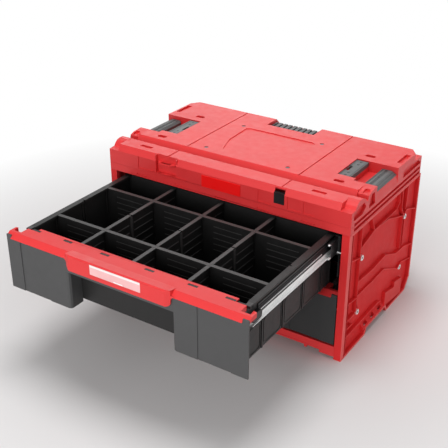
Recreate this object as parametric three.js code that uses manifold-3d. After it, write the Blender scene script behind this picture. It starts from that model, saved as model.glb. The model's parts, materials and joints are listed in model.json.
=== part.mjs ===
// A tool box with two wide drawers, at its real size in millimetres.
// X runs to the right, Y to the back and Z up. The origin is on the floor, under the middle
// of the cabinet. The upper drawer stands open and the lower one is shut.

import * as THREE from 'three';
import { mergeVertices } from 'three/addons/utils/BufferGeometryUtils.js';
import Module from 'manifold-3d';

// Overall sizes
const cabinetWidth = 585;
const cabinetDepth = 356;
const sideSeam = 290;
const headerHeight = 17;
const lidHeight = 62;
const travelShort = 22;
const lowerDrawerFoot = 35;
const drawerGap = 6.7;
const drawerHeadGap = 5.7;
const seatGap = 0.3;
const overrun = 2;

// Side panels
const postWidth = 16.5;
const postDepth = 12;
const webInset = 9;
const webThickness = 3;
const sideRim = 4;
const sideRib = 1.7;
const boltPadInset = 6.5;
const sideRibInset = 1;
const footHeight = 14;
const footFlare = 8;
const frontFootLength = 116;
const rearFootLength = 128;
const rearChamferRun = 22;
const rearChamferRise = 28;
const footSlopeStart = 108;
const footSlopeLength = 110;
const footSlopeRise = 12;
const drainSlotLength = 17;
const drainSlotWidth = 6;
const drainSlotInset = 3.5;
const drainSlotShares = [0.351, 0.454, 0.556];
const footBlockShares = [
  [0.612, 0.062], [0.612, 0.18], [0.75, 0.145], [0.75, 0.19], [0.87, 0.16], [0.87, 0.02],
];
const curvedBandProud = 3;
const curvedBandShares = [
  [0.168, 0.435], [0.385, 0.426], [0.545, 0.429], [0.772, 0.295], [0.835, 0.32], [0.98, 0.27],
  [0.98, 0.4], [0.845, 0.45], [0.718, 0.459], [0.55, 0.544], [0.37, 0.532], [0.168, 0.55],
];

// Ribs of a side panel, each a chain of points. Every point is a share of the cabinet's depth,
// counted from the front, and a share of the side seam's height.
const sideRibShares = [
  [[0.056, 0.03], [0.056, 0.98]],
  [[0.168, 0.31], [0.168, 0.98]],
  [[0.05, 0.78], [0.168, 0.742]],
  [[0.05, 0.44], [0.168, 0.42], [0.19, 0.33]],
  [[0.168, 0.55], [0.37, 0.532], [0.55, 0.544], [0.718, 0.459], [0.845, 0.45], [0.98, 0.4]],
  [[0.168, 0.435], [0.385, 0.426], [0.545, 0.429], [0.772, 0.295], [0.835, 0.32], [0.98, 0.27]],
  [[0.296, 0.98], [0.344, 0.863], [0.66, 0.863], [0.7, 0.9], [0.7, 0.98]],
  [[0.168, 0.815], [0.344, 0.863], [0.538, 0.845], [0.79, 0.745]],
  [[0.736, 0.98], [0.747, 0.82], [0.79, 0.745], [0.83, 0.776], [0.98, 0.714]],
  [[0.82, 0.98], [0.812, 0.79]],
  [[0.775, 0.74], [0.775, 0.48]],
  [[0.809, 0.74], [0.809, 0.48]],
  [[0.05, 0.165], [0.5, 0.165], [0.54, 0.15]],
  [[0.05, 0.3], [0.16, 0.3]],
  [[0.05, 0.23], [0.13, 0.23]],
];

// Base panel
const baseThickness = 3;
const baseRailGap = 4.4;
const baseRailFoot = 12;
const baseRailThickness = 6;
const baseRailEndFoot = 6;
const baseRailEndLength = 33;
const basePadWidth = 60;
const baseRunnerWidth = 6;
const baseRunnerDrop = 8;
const baseRunnerShares = [-0.36, -0.18, 0.18, 0.36];

// Back panel
const backThickness = 3;
const backRibDepth = 3.6;
const backRibWidth = 4;
const backRibCount = 9;
const backBandHeight = 5;
const backBandShares = [0.2, 0.5, 0.8];

// Lid
const lidWall = 3;
const lidEndWall = 10;
const lidFaceDrop = 14;
const flatFrontInset = 7.5;
const flatWidth = 38.5;
const valleyDepth = 15;
const valleyRearRun = 5;
const valleyFloor = 12;
const plateFrontRun = 13.5;
const rearSlopeRun = 27;
const rearSlopeDrop = 25;
const rearCornerCut = 14.5;
const rearCornerRun = 47;
const rearCornerDrop = 18;
const rearEdgeCut = 3;
const rearEdgeRun = 7;
const earWidth = 26;
const earShares = [
  [0.045, 0.798], [0.056, 0.887], [0.076, 0.976], [0.101, 1.01], [0.129, 1.003], [0.166, 0.903],
  [0.183, 0.782], [0.202, 0.782], [0.208, 0.911], [0.242, 0.979], [0.295, 1],
];
const lidGrooveOffset = 138;
const lidGrooveWidth = 3;
const lidGrooveDepth = 1.5;
const lidPanelDepth = 1.6;
const lidPanelFront = -70;
const lidPanelRear = 67;
const lidPanelHalfWidth = 88;
const lidPanelShares = [[0.75, 0], [0.95, 0.38], [1, 0.95], [0.9, 1]];
const flatSlotSideInset = 83;
const flatSlotLength = 31;
const flatSlotWidth = 9;
const flatSlotDepth = 3;
const flatSlotInset = 26.5;
const dimpleSideInset = 74.5;
const dimpleLength = 23;
const dimpleWidth = 12;
const dimpleDepth = 5;
const dimpleSides = 12;
const frontDimple = -84;
const rearDimple = 66;
const edgeSlotInset = 10;
const edgeSlotWidth = 11;
const edgeSlotDepth = 5;
const edgeSlotFront = 66;
const edgeSlotLength = 50;
const cornerSlotFront = -108;
const cornerSlotLength = 22;

// Front band of the lid
const bandRecessDepth = 1.6;
const bandRecessRise = 4;
const bandRecessShares = [[-0.73, -0.58], [-0.39, -0.3], [0.3, 0.4], [0.53, 0.63], [0.65, 0.73]];
const labelHalfWidth = 47;
const labelRise = 3;
const labelHeight = 25;
const labelThickness = 1.2;
const eyeCentre = -140;
const eyePocketWidth = 52;
const eyePocketRise = 5;
const eyePocketDepth = 9;
const eyeTabWidth = 44;
const eyeTabRise = 26;
const eyeTabThickness = 4;
const eyeTabCorner = 9;
const eyeProud = 5;
const eyeSlotLength = 25;
const eyeSlotWidth = 8;
const eyeFrontWall = 3.5;
const eyePlateWidth = 46;
const eyePlateDrop = 14;
const eyePlateThickness = 2;
const lockCentre = 136.3;
const lockWidth = 22.5;
const lockRise = 11;
const lockHeight = 23;
const lockDepth = 8;
const lockProud = 1.5;
const lockTravel = 8;
const lockSideGap = 0.5;
const lockPocketDepth = 9;

// Cut-outs of the lid and the adapters in them
const cutWidth = 93;
const cutFront = -54;
const cutDepth = 22.5;
const cutPanWall = 3;
const cutRimWidth = 2.7;
const cutRimDrop = 15.5;
const cutSlopeDrop = 17.5;
const outerCutWidth = 52;
const outerCutReach = 12;
const innerAdapterWidth = 28;
const innerAdapterDrop = 2;
const innerAdapterThickness = 9;
const adapterFrontGap = 1.5;
const adapterRearGap = 2;
const innerAdapterLength = 90;
const innerNotchDepth = 9;
const innerNotchStart = 30;
const innerNotchLength = 24;
const outerAdapterInset = 38;
const outerAdapterWidth = 35;
const outerAdapterThickness = 13.5;
const outerAdapterSlopeRun = 11;
const outerAdapterSlopeDrop = 6.5;
const outerAdapterBevel = 4;
const adapterHole = 3;
const innerHoleShares = [0.081, 0.236, 0.749, 0.911];
const outerHoleShares = [0.201, 0.573, 0.923];

// Rear recess of the lid and the latch in it
const recessHalfWidth = 60;
const recessLength = 70;
const recessDepth = 16;
const latchSideGap = 3;
const latchLength = 40;
const latchHeight = 10;
const latchSlotCount = 9;
const latchSlotWidth = 4;
const latchSlotDepth = 4;
const latchSlotInset = 8;

// Lid screws
const screwOffset = 100.6;
const frontScrew = -82;
const rearScrew = 70.6;
const screwHeadRadius = 4.5;
const screwHeadHeight = 3;
const screwSink = 0.8;
const screwShankRadius = 2.2;
const screwShankLength = 11;
const screwBossRadius = 9;
const screwBossHeight = 18;
const screwClearance = 0.4;

// Front header of the cabinet
const headerDepth = 12;
const headerWall = 3;
const headerSlotLength = 30;
const headerSlotHeight = 4;
const headerSlotDepth = 2;
const headerSlotRise = 6;
const headerSlotPitch = 101.5;
const headerSlotCount = 5;

// Grooves along the lid's sides and pockets in its ends
const sideGrooveDepth = 5;
const sideGrooveHeight = 7;
const sideGrooveRise = 3.5;
const sideGroovePitch = 11;
const sideGrooveCount = 2;
const endPocketDepth = 6;
const endPocketRise = 28;
const frontEndPocketShares = [[0.03, 0], [0.03, 0.5], [0.1, 0.62], [0.155, 0.64], [0.18, 0.3], [0.14, 0]];
const middleEndPocketShares = [[0.22, 0], [0.228, 0.55], [0.25, 0.78], [0.285, 0.78], [0.3, 0]];
const rearEndPocketShares = [
  [0.7, 0], [0.7, 0.5], [0.79, 0.62], [0.85, 0.42], [0.93, 0.35], [0.965, 0.1], [0.965, 0],
];

// Drawer front and grip, heights counted from the foot of the drawer
const frontSideGap = 18.5;
const frontBlockInner = 119;
const frontBlockCorner = 6;
const frontDepth = 33.2;
const frontWall = 3;
const frontLipHeight = 10.7;
const frontLipThickness = 4;
const frontStepDepth = 1.2;
const frontStepShares = [0.34, 0.78];
const frontEarWidth = 12;
const gripWingHeight = 9.3;
const gripProud = 3;
const gripSlopeRun = 12;
const gripPlate = 3;
const gripRear = 46;
const gripStepRear = 34;
const gripStepWidth = 47;
const gripTipRear = 26;
const gripTipWidth = 14;
const gripTipCorner = 5;
const gripCentreHeight = 28.8;
const gripCentreProud = 8;
const gripCentreWall = 4;
const gripCentreRise = 3.6;
const gripCentreRun = 24;
const gripCentreEdge = 2.4;
const gripCentreCorner = 9;
const gripCurve = 8;
const gripCurveSides = 5;
const gripLugWidth = 5;
const gripLugLength = 7;
const gripLugHeight = 1;
const railRoomInset = 16;
const railRoomGap = 1;
const clipInset = 37;
const clipLength = 20;
const clipWidth = 5;
const clipGap = 0.5;
const clipShares = [-0.836, -0.544, -0.215, 0.161, 0.504, 0.788];
const windowWidth = 115;
const windowHeight = 20.5;
const windowRise = 9;
const windowDepth = 1.4;

// Bin and dividers, heights counted from the foot of the drawer
const binSideGap = 42.5;
const binWall = 2.5;
const binFloor = 3;
const binFoot = 7;
const binTopDrop = 0.7;
const binRearGap = 9.5;
const binRim = 5.5;
const binInnerRim = 4.5;
const binRearRim = 1.8;
const binRimHeight = 4.4;
const binRibWidth = 4;
const binRibDepth = 1.5;
const binRibClearance = 5;
const binRibShares = [0.16, 0.396, 0.633, 0.869];
const crossDividerShares = [0.254, 0.746];
const dividerThickness = 3;
const dividerFlange = 8;
const dividerFlangeHeight = 3;
const dividerGap = 0.4;
const notchWidth = 3;
const notchShare = 0.5;
const longDividerNames = ['left', 'middle', 'right'];
const longDividerShares = [-0.49, 0, 0.49];

// Slides, levels counted from the foot of the drawer
const slideDrop = 28.3;
const slideThickness = 12.7;
const slideSheet = 1.5;
const outerRailHeight = 42;
const middleRailHeight = 34;
const outerRailFront = 16;
const middleRailFront = 112;
const innerRailFront = 40;
const railRearGap = 10;
const innerRailRearGap = 12;
const middleFlangeInset = 1.5;
const innerFlangeReach = 7.5;
const stopHoleRadius = 2.2;

// Slide brackets and bolts
const bracketThickness = 3;
const bracketFront = 16;
const bracketRearGap = 18;
const bracketFoot = 22;
const bossRadius = 8;
const boltLevel = 46;
const frontBoltInset = 73;
const rearBoltGap = 63;
const boltRadius = 3;
const boltClearance = 0.4;
const boltHeadRadius = 6;
const boltHeadHeight = 4;
const boltSocketRadius = 2.6;
const boltSocketDepth = 2.4;
const boltReach = 12;
const roundSides = 16;

// Places worked out from the sizes above
const halfWidth = cabinetWidth / 2;
const front = -cabinetDepth / 2;
const rear = cabinetDepth / 2;
const webOuter = halfWidth - webInset;
const webInner = webOuter - webThickness;
const boltPadTop = halfWidth - boltPadInset;
const postInner = halfWidth - postWidth;
const openingHalfWidth = postInner - seatGap;
const backFace = rear - sideRim - seatGap;
const baseLevel = footHeight + seatGap;
const frontSeam = sideSeam + headerHeight;
const lidTop = sideSeam + lidHeight;
const lidFaceTop = lidTop - lidFaceDrop;
const cutInner = halfWidth - cutWidth;
const cutRear = cutFront + adapterFrontGap + innerAdapterLength + adapterRearGap;
const outerCutFront = cutFront - outerCutReach;
const outerAdapterLength = innerAdapterLength + outerCutReach;
const cutFloor = lidTop - cutDepth;
const recessFront = rear - recessLength;
const recessFloor = lidTop - recessDepth;
const lockFoot = frontSeam + lockRise;
const drawerTravel = cabinetDepth - travelShort;
const drawerHeight = (sideSeam - lowerDrawerFoot - drawerGap - drawerHeadGap) / 2;
const upperDrawerFoot = lowerDrawerFoot + drawerHeight + drawerGap;
const gripTop = drawerHeight - gripLugHeight;
const gripSeat = gripTop - gripWingHeight;
const gripCentreFoot = gripTop - gripCentreHeight;
const frontTop = gripSeat - seatGap;
const frontHalfWidth = halfWidth - frontSideGap;
const binHalfWidth = halfWidth - binSideGap;
const binTop = gripTop - binTopDrop;
const slideLevel = gripTop - slideDrop;
const slideInner = binHalfWidth + seatGap;
const slideOuter = slideInner + slideThickness;
const rearBoltInset = cabinetDepth - rearBoltGap;

const wasm = await Module();
wasm.setup();

// Solids from three.js geometry

function solidOf(geometry) {
  const bare = geometry.index ? geometry.toNonIndexed() : geometry;
  bare.deleteAttribute('normal');
  bare.deleteAttribute('uv');
  const merged = mergeVertices(bare);
  return new wasm.Manifold(new wasm.Mesh({
    numProp: 3,
    vertProperties: new Float32Array(merged.attributes.position.array),
    triVerts: new Uint32Array(merged.index.array),
  }));
}

function middle(span) {
  return (span[0] + span[1]) / 2;
}

function box(xs, ys, zs) {
  const geometry = new THREE.BoxGeometry(xs[1] - xs[0], ys[1] - ys[0], zs[1] - zs[0]);
  geometry.translate(middle(xs), middle(ys), middle(zs));
  return solidOf(geometry);
}

function extruded(points, length) {
  const shape = new THREE.Shape(points.map(([u, v]) => new THREE.Vector2(u, v)));
  return new THREE.ExtrudeGeometry(shape, { depth: length, bevelEnabled: false });
}

// A prism along X from points in Y and Z.
function prismX(points, xs) {
  const geometry = extruded(points, xs[1] - xs[0]);
  const turn = new THREE.Matrix4().makeBasis(
    new THREE.Vector3(0, 1, 0),
    new THREE.Vector3(0, 0, 1),
    new THREE.Vector3(1, 0, 0),
  );
  geometry.applyMatrix4(turn);
  geometry.translate(xs[0], 0, 0);
  return solidOf(geometry);
}

// A prism along Y from points in X and Z.
function prismY(points, ys) {
  const geometry = extruded(points, ys[1] - ys[0]);
  const turn = new THREE.Matrix4().makeBasis(
    new THREE.Vector3(1, 0, 0),
    new THREE.Vector3(0, 0, 1),
    new THREE.Vector3(0, -1, 0),
  );
  geometry.applyMatrix4(turn);
  geometry.translate(0, ys[1], 0);
  return solidOf(geometry);
}

// A prism along Z from points in X and Y.
function prismZ(points, zs) {
  const geometry = extruded(points, zs[1] - zs[0]);
  geometry.translate(0, 0, zs[0]);
  return solidOf(geometry);
}

function rodX(radius, xs, y, z) {
  const geometry = new THREE.CylinderGeometry(radius, radius, xs[1] - xs[0], roundSides);
  geometry.rotateZ(Math.PI / 2);
  geometry.translate(middle(xs), y, z);
  return solidOf(geometry);
}

function rodZ(radius, zs, x, y) {
  const geometry = new THREE.CylinderGeometry(radius, radius, zs[1] - zs[0], roundSides);
  geometry.rotateX(Math.PI / 2);
  geometry.translate(x, y, middle(zs));
  return solidOf(geometry);
}

function join(...solids) {
  return solids.reduce((whole, piece) => whole.add(piece));
}

function cut(solid, ...tools) {
  return tools.reduce((rest, tool) => rest.subtract(tool), solid);
}

// The span between two distances from the middle plane, on the right (1) or the left (-1).
function across(side, near, far) {
  return side > 0 ? [near, far] : [-far, -near];
}

function around(centre, width) {
  return [centre - width / 2, centre + width / 2];
}

function geometryOf(solid) {
  const mesh = solid.getMesh();
  const geometry = new THREE.BufferGeometry();
  geometry.setAttribute('position', new THREE.BufferAttribute(new Float32Array(mesh.vertProperties), 3));
  geometry.setIndex(new THREE.BufferAttribute(new Uint32Array(mesh.triVerts), 1));
  geometry.computeVertexNormals();
  return geometry;
}

// Materials

function plastic(color, roughness) {
  return new THREE.MeshStandardMaterial({ color, roughness, metalness: 0 });
}

const redPlastic = plastic(0xd93a40, 0.55);
const labelRed = plastic(0xf0141c, 0.4);
const greyPlastic = plastic(0x4b4b4c, 0.6);
const darkPlastic = plastic(0x1a1a1b, 0.55);
const blackPlastic = plastic(0x0e0e0f, 0.4);
const clearPlastic = plastic(0xe9b4b4, 0.25);
const steel = new THREE.MeshStandardMaterial({ color: 0xbfc0c2, roughness: 0.3, metalness: 1 });
const darkSteel = new THREE.MeshStandardMaterial({ color: 0x2e2f31, roughness: 0.45, metalness: 0.8 });

const toolbox = new THREE.Group();

function place(name, solid, material, group = toolbox) {
  const mesh = new THREE.Mesh(geometryOf(solid), material);
  mesh.name = name;
  group.add(mesh);
}

// Side panels

// The panel's outline in Y and Z, drawn in by one distance at the front and another elsewhere.
function sideOutline(frontInset, inset) {
  return [
    [front + frontInset, inset],
    [front + frontFootLength - inset, inset],
    [front + frontFootLength + footFlare - inset, footHeight + inset],
    [rear - rearFootLength - footFlare + inset, footHeight + inset],
    [rear - rearFootLength + inset, inset],
    [rear - rearChamferRun - inset / 2, inset],
    [rear - inset, rearChamferRise + inset / 2],
    [rear - inset, sideSeam - inset],
    [front + frontInset, sideSeam - inset],
  ];
}

function stripBetween(start, end, width, xs) {
  const along = new THREE.Vector2(end[0] - start[0], end[1] - start[1]).normalize();
  const overlap = along.clone().multiplyScalar(width / 2);
  const aside = new THREE.Vector2(-along.y, along.x).multiplyScalar(width / 2);
  const a = new THREE.Vector2(...start).sub(overlap);
  const b = new THREE.Vector2(...end).add(overlap);
  const corners = [
    a.clone().add(aside),
    a.clone().sub(aside),
    b.clone().sub(aside),
    b.clone().add(aside),
  ];
  return prismX(corners.map((corner) => [corner.x, corner.y]), xs);
}

function sideRibs(side) {
  const xs = across(side, webOuter - webThickness / 2, halfWidth - sideRibInset);
  const strips = [];
  for (const route of sideRibShares) {
    const points = route.map(([y, z]) => [front + y * cabinetDepth, z * sideSeam]);
    for (let i = 1; i < points.length; i += 1) {
      strips.push(stripBetween(points[i - 1], points[i], sideRib, xs));
    }
  }
  return join(...strips);
}

function boltPlaces() {
  const levels = [lowerDrawerFoot + boltLevel, upperDrawerFoot + boltLevel];
  const depths = [front + frontBoltInset, front + rearBoltInset];
  return levels.flatMap((z) => depths.map((y) => [y, z]));
}

// A flat raised form on the web, from its outline in shares like those of the ribs.
function raisedForm(side, shares, proud) {
  const points = shares.map(([y, z]) => [front + y * cabinetDepth, z * sideSeam]);
  return prismX(points, across(side, webOuter - webThickness / 2, proud));
}

// Above the raised stretch of the foot the web runs out to the rim in a slope with drain slots.
function footSlope(side) {
  const foot = footHeight + sideRim / 2;
  const inner = webOuter - webThickness / 2;
  const outer = halfWidth - sideRibInset;
  const section = [
    [side * inner, foot],
    [side * outer, foot],
    [side * outer, footHeight + sideRim],
    [side * inner, footHeight + sideRim + footSlopeRise],
  ];
  const ys = [front + footSlopeStart, front + footSlopeStart + footSlopeLength];
  return prismY(side > 0 ? section : section.reverse(), ys);
}

function sidePanel(side) {
  let panel = cut(
    prismX(sideOutline(0, 0), across(side, postInner, halfWidth)),
    prismX(sideOutline(postDepth, sideRim), across(side, webOuter, halfWidth + overrun)),
    prismX(sideOutline(postDepth, sideRim), across(side, postInner - overrun, webInner)),
  );
  panel = join(
    panel,
    sideRibs(side),
    footSlope(side),
    raisedForm(side, [...curvedBandShares], webOuter + curvedBandProud),
    raisedForm(side, [...footBlockShares].reverse(), halfWidth - sideRibInset),
  );
  for (const [y, z] of boltPlaces()) {
    const pad = rodX(boltHeadRadius + sideRib, across(side, webInner, boltPadTop), y, z);
    const headRoom = rodX(boltHeadRadius + sideRib, across(side, boltPadTop, halfWidth + overrun), y, z);
    const hole = rodX(boltRadius + boltClearance, across(side, webInner - overrun, halfWidth), y, z);
    panel = cut(join(cut(panel, headRoom), pad), hole);
  }
  for (const share of drainSlotShares) {
    panel = cut(panel, box(
      across(side, halfWidth - drainSlotInset - drainSlotWidth, halfWidth - drainSlotInset),
      around(front + share * cabinetDepth, drainSlotLength),
      [0, footHeight + sideRim + footSlopeRise + overrun],
    ));
  }
  return panel;
}

// Base and back panels

function basePanel() {
  const plateTop = baseLevel + baseThickness;
  const plateRear = backFace - backThickness - seatGap;
  const plate = box([-openingHalfWidth, openingHalfWidth], [front, plateRear], [baseLevel, plateTop]);
  const rail = box(
    [-openingHalfWidth, openingHalfWidth],
    [front, front + baseRailThickness],
    [baseRailFoot, lowerDrawerFoot - baseRailGap],
  );
  const ends = [1, -1].map((side) => box(
    across(side, openingHalfWidth - baseRailEndLength, openingHalfWidth),
    [front, front + baseRailThickness],
    [baseRailEndFoot, lowerDrawerFoot - baseRailGap],
  ));
  const pad = box(around(0, basePadWidth), around(0, basePadWidth), [0, plateTop]);
  const runners = baseRunnerShares.map((share) => box(
    around(share * cabinetWidth, baseRunnerWidth),
    [front, plateRear],
    [baseLevel - baseRunnerDrop, plateTop],
  ));
  return join(plate, rail, ...ends, pad, ...runners);
}

function backPanel() {
  const foot = rearChamferRise + sideRim;
  const plate = box(
    [-openingHalfWidth, openingHalfWidth],
    [backFace - backThickness, backFace],
    [baseLevel, sideSeam],
  );
  const ribReach = openingHalfWidth - backRibWidth;
  const depths = [backFace - backThickness, backFace + backRibDepth];
  const ribs = [];
  for (let i = 0; i < backRibCount; i += 1) {
    const x = -ribReach + (2 * ribReach * i) / (backRibCount - 1);
    ribs.push(box(around(x, backRibWidth), depths, [foot, sideSeam]));
  }
  const bands = backBandShares.map((share) => box(
    [-ribReach, ribReach],
    depths,
    around(foot + share * (sideSeam - foot), backBandHeight),
  ));
  return join(plate, ...ribs, ...bands);
}

// Lid

// The lid's section in Y and Z between its ears, drawn in by the wall for the hollow.
function lidSection(inset) {
  const flatFront = front + flatFrontInset;
  const flatRear = flatFront + flatWidth;
  const valleyFront = flatRear + valleyRearRun;
  const plateFront = valleyFront + valleyFloor + plateFrontRun;
  const foot = inset ? sideSeam - overrun : frontSeam;
  return [
    [front + inset, foot],
    [front + inset, lidFaceTop - inset / 2],
    [flatFront + inset / 2, lidTop - inset],
    [flatRear - inset / 2, lidTop - inset],
    [valleyFront - inset / 2, lidTop - valleyDepth - inset],
    [valleyFront + valleyFloor + inset / 2, lidTop - valleyDepth - inset],
    [plateFront + inset / 2, lidTop - inset],
    [rear - rearSlopeRun - inset / 2, lidTop - inset],
    [rear - inset, lidTop - rearSlopeDrop - inset / 2],
    [rear - inset, foot],
  ];
}

// The section at the ends, where an ear stands up beside the flat.
function earSection() {
  const crown = earShares.map(([y, z]) => [front + y * cabinetDepth, sideSeam + z * lidHeight]);
  return [[front, frontSeam], [front, lidFaceTop], ...crown, ...lidSection(0).slice(7)];
}

function lidBody() {
  const earInner = halfWidth - earWidth;
  const skirtFront = front + headerDepth + seatGap;
  let body = join(
    prismX(lidSection(0), [-earInner - overrun, earInner + overrun]),
    ...[1, -1].map((side) => prismX(earSection(), across(side, earInner, halfWidth))),
    box([-halfWidth, halfWidth], [skirtFront, rear], [sideSeam + seatGap, frontSeam + overrun]),
  );
  body = cut(body, prismX(lidSection(lidWall), [-earInner, earInner]));
  for (const side of [1, -1]) {
    const hollow = [front + headerDepth + lidWall, rear - lidWall];
    body = cut(
      body,
      box(
        across(side, earInner - overrun, halfWidth - lidEndWall),
        hollow,
        [sideSeam - overrun, lidTop - rearSlopeDrop - lidWall],
      ),
      prismZ(
        rearCorner(side, rearEdgeCut, rearEdgeRun, rear),
        [sideSeam - overrun, lidTop + overrun],
      ),
      prismZ(
        rearCorner(side, rearCornerCut, rearCornerRun, rear - rearSlopeRun),
        [lidTop - rearCornerDrop, lidTop + overrun],
      ),
    );
  }
  return cut(body, box(
    [-earInner, earInner],
    [front + lidWall, front + headerDepth + overrun],
    [sideSeam, frontSeam + overrun],
  ));
}

// A wedge that takes off one rear corner of the lid, seen from above. Its slanting side ends
// on the given line.
function rearCorner(side, inset, run, line) {
  const points = [
    [side * (halfWidth + overrun), rear - run],
    [side * (halfWidth + overrun), rear + overrun],
    [side * (halfWidth - inset), rear + overrun],
    [side * (halfWidth - inset), line],
    [side * halfWidth, rear - run],
  ];
  return side > 0 ? points : points.reverse();
}

function lidGrooves() {
  const grooves = [];
  for (const side of [1, -1]) {
    grooves.push(box(
      around(side * lidGrooveOffset, lidGrooveWidth),
      [front, rear],
      [lidTop - lidGrooveDepth, lidTop + overrun],
    ));
  }
  return grooves;
}

function lidPanel() {
  const depth = lidPanelRear - lidPanelFront;
  const right = lidPanelShares.map(([x, y]) => [x * lidPanelHalfWidth, lidPanelFront + y * depth]);
  const left = right.map(([x, y]) => [-x, y]).reverse();
  return prismZ(right.concat(left), [lidTop - lidPanelDepth, lidTop + overrun]);
}

// An oblong pit with round ends, lying along X.
function dimple(x, y) {
  const reach = (dimpleLength - dimpleWidth) / 2;
  const points = [];
  for (let i = 0; i < dimpleSides; i += 1) {
    const turn = (2 * Math.PI * (i + 1 / 2)) / dimpleSides;
    const along = Math.cos(turn) > 0 ? reach : -reach;
    points.push([
      x + along + Math.cos(turn) * dimpleWidth / 2,
      y + Math.sin(turn) * dimpleWidth / 2,
    ]);
  }
  return prismZ(points, [lidTop - dimpleDepth, lidTop + overrun]);
}

// Pads under the pits, as the lid's wall is thinner than the pits are deep.
function pitPads() {
  const pads = [];
  for (const side of [1, -1]) {
    const flatSlot = side * (halfWidth - flatSlotSideInset);
    const dimpleLine = side * (halfWidth - dimpleSideInset);
    pads.push(box(
      around(flatSlot, flatSlotLength + 2 * lidWall),
      around(front + flatSlotInset, flatSlotWidth + 2 * lidWall),
      [lidTop - flatSlotDepth - lidWall, lidTop - lidWall / 2],
    ));
    for (const y of [frontDimple, rearDimple]) {
      pads.push(box(
        around(dimpleLine, dimpleLength + 2 * lidWall),
        around(y, dimpleWidth + 2 * lidWall),
        [lidTop - dimpleDepth - lidWall, lidTop - lidWall / 2],
      ));
    }
  }
  return pads;
}

function lidPits() {
  const pits = [];
  for (const side of [1, -1]) {
    pits.push(box(
      around(side * (halfWidth - flatSlotSideInset), flatSlotLength),
      around(front + flatSlotInset, flatSlotWidth),
      [lidTop - flatSlotDepth, lidTop + overrun],
    ));
    for (const y of [frontDimple, rearDimple]) {
      pits.push(dimple(side * (halfWidth - dimpleSideInset), y));
    }
    for (const [y, length] of [[edgeSlotFront, edgeSlotLength], [cornerSlotFront, cornerSlotLength]]) {
      pits.push(box(
        around(side * (halfWidth - edgeSlotInset), edgeSlotWidth),
        [y, y + length],
        [lidTop - edgeSlotDepth, lidTop + overrun],
      ));
    }
  }
  return pits;
}

function screwPlaces() {
  const places = [];
  for (const [sideName, side] of [['left', -1], ['right', 1]]) {
    places.push([`front_${sideName}`, side * screwOffset, frontScrew]);
    places.push([`rear_${sideName}`, side * screwOffset, rearScrew]);
  }
  return places;
}

function lidScrew(x, y) {
  const headTop = lidTop - screwSink;
  const headFoot = headTop - screwHeadHeight;
  return join(
    rodZ(screwHeadRadius, [headFoot, headTop], x, y),
    rodZ(screwShankRadius, [headFoot - screwShankLength, headFoot + screwHeadHeight / 2], x, y),
  );
}

function screwSeat(lid, x, y) {
  const headFoot = lidTop - screwSink - screwHeadHeight - seatGap;
  return cut(
    join(lid, rodZ(screwBossRadius, [lidTop - screwBossHeight, lidTop - lidWall / 2], x, y)),
    rodZ(screwHeadRadius + screwClearance, [headFoot, lidTop + overrun], x, y),
    rodZ(screwShankRadius + screwClearance, [lidTop - screwBossHeight - overrun, lidTop], x, y),
  );
}

// The pan on each side that holds the two adapters, open at the top and to the outside.
function sideCutout(lid, side) {
  const outerCut = halfWidth - outerCutWidth;
  const rimInner = halfWidth - cutRimWidth;
  const rimTop = lidTop - cutRimDrop;
  const innerTop = lidTop - innerAdapterDrop - innerAdapterThickness - seatGap;
  const pan = join(
    box(
      across(side, cutInner - cutPanWall, halfWidth - lidEndWall / 2),
      [cutFront - cutPanWall, cutRear + cutPanWall],
      [cutFloor - cutPanWall, lidTop - lidPanelDepth],
    ),
    box(
      across(side, outerCut - cutPanWall, halfWidth - lidEndWall / 2),
      [outerCutFront - cutPanWall, cutRear],
      [cutFloor - cutPanWall, lidTop - lidPanelDepth],
    ),
  );
  const pit = join(
    box(across(side, cutInner, rimInner), [cutFront, cutRear], [cutFloor, lidTop + overrun]),
    box(across(side, outerCut, rimInner), [outerCutFront, cutRear], [cutFloor, lidTop + overrun]),
    box(
      across(side, outerCut, halfWidth + overrun),
      [outerCutFront, cutRear],
      [rimTop, lidTop + overrun],
    ),
  );
  const step = box(
    across(side, cutInner - cutPanWall / 2, cutInner + innerAdapterWidth),
    [cutFront - cutPanWall / 2, cutRear + cutPanWall / 2],
    [cutFloor - cutPanWall, innerTop],
  );
  const slope = [
    [side * rimInner, rimTop],
    [side * rimInner, rimTop + overrun],
    [side * (halfWidth + overrun), rimTop + overrun],
    [side * (halfWidth + overrun), rimTop - cutSlopeDrop],
    [side * halfWidth, rimTop - cutSlopeDrop],
  ];
  const wedge = prismY(side > 0 ? slope : slope.reverse(), [outerCutFront, cutRear]);
  return cut(join(cut(join(lid, pan), pit), step), wedge);
}

function rearRecess(lid) {
  const pan = box(
    [-recessHalfWidth - lidWall, recessHalfWidth + lidWall],
    [recessFront - lidWall, rear - rearSlopeRun],
    [recessFloor - lidWall, lidTop - lidWall / 2],
  );
  const pit = box(
    [-recessHalfWidth, recessHalfWidth],
    [recessFront, rear + overrun],
    [recessFloor, lidTop + overrun],
  );
  return cut(join(lid, pan), pit);
}

function sideGrooves(side) {
  const grooves = [];
  for (let i = 0; i < sideGrooveCount; i += 1) {
    const foot = sideSeam + sideGrooveRise + i * sideGroovePitch;
    grooves.push(box(
      across(side, halfWidth - sideGrooveDepth, halfWidth + overrun),
      [front + headerDepth + lidWall, rear - lidEndWall],
      [foot, foot + sideGrooveHeight],
    ));
  }
  return grooves;
}

function endPockets(side) {
  const foot = sideSeam + endPocketRise;
  const rise = lidTop - foot;
  const xs = across(side, halfWidth - endPocketDepth, halfWidth + overrun);
  const shapes = [frontEndPocketShares, middleEndPocketShares, rearEndPocketShares];
  return shapes.map((shares) => {
    const points = shares.map(([y, z]) => [front + y * cabinetDepth, foot + z * rise]);
    return prismX(points.reverse(), xs);
  });
}

function bandRecesses() {
  return bandRecessShares.map(([from, to]) => box(
    [from * halfWidth, to * halfWidth],
    [front - overrun, front + bandRecessDepth],
    [frontSeam + bandRecessRise, lidFaceTop],
  ));
}

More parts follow.
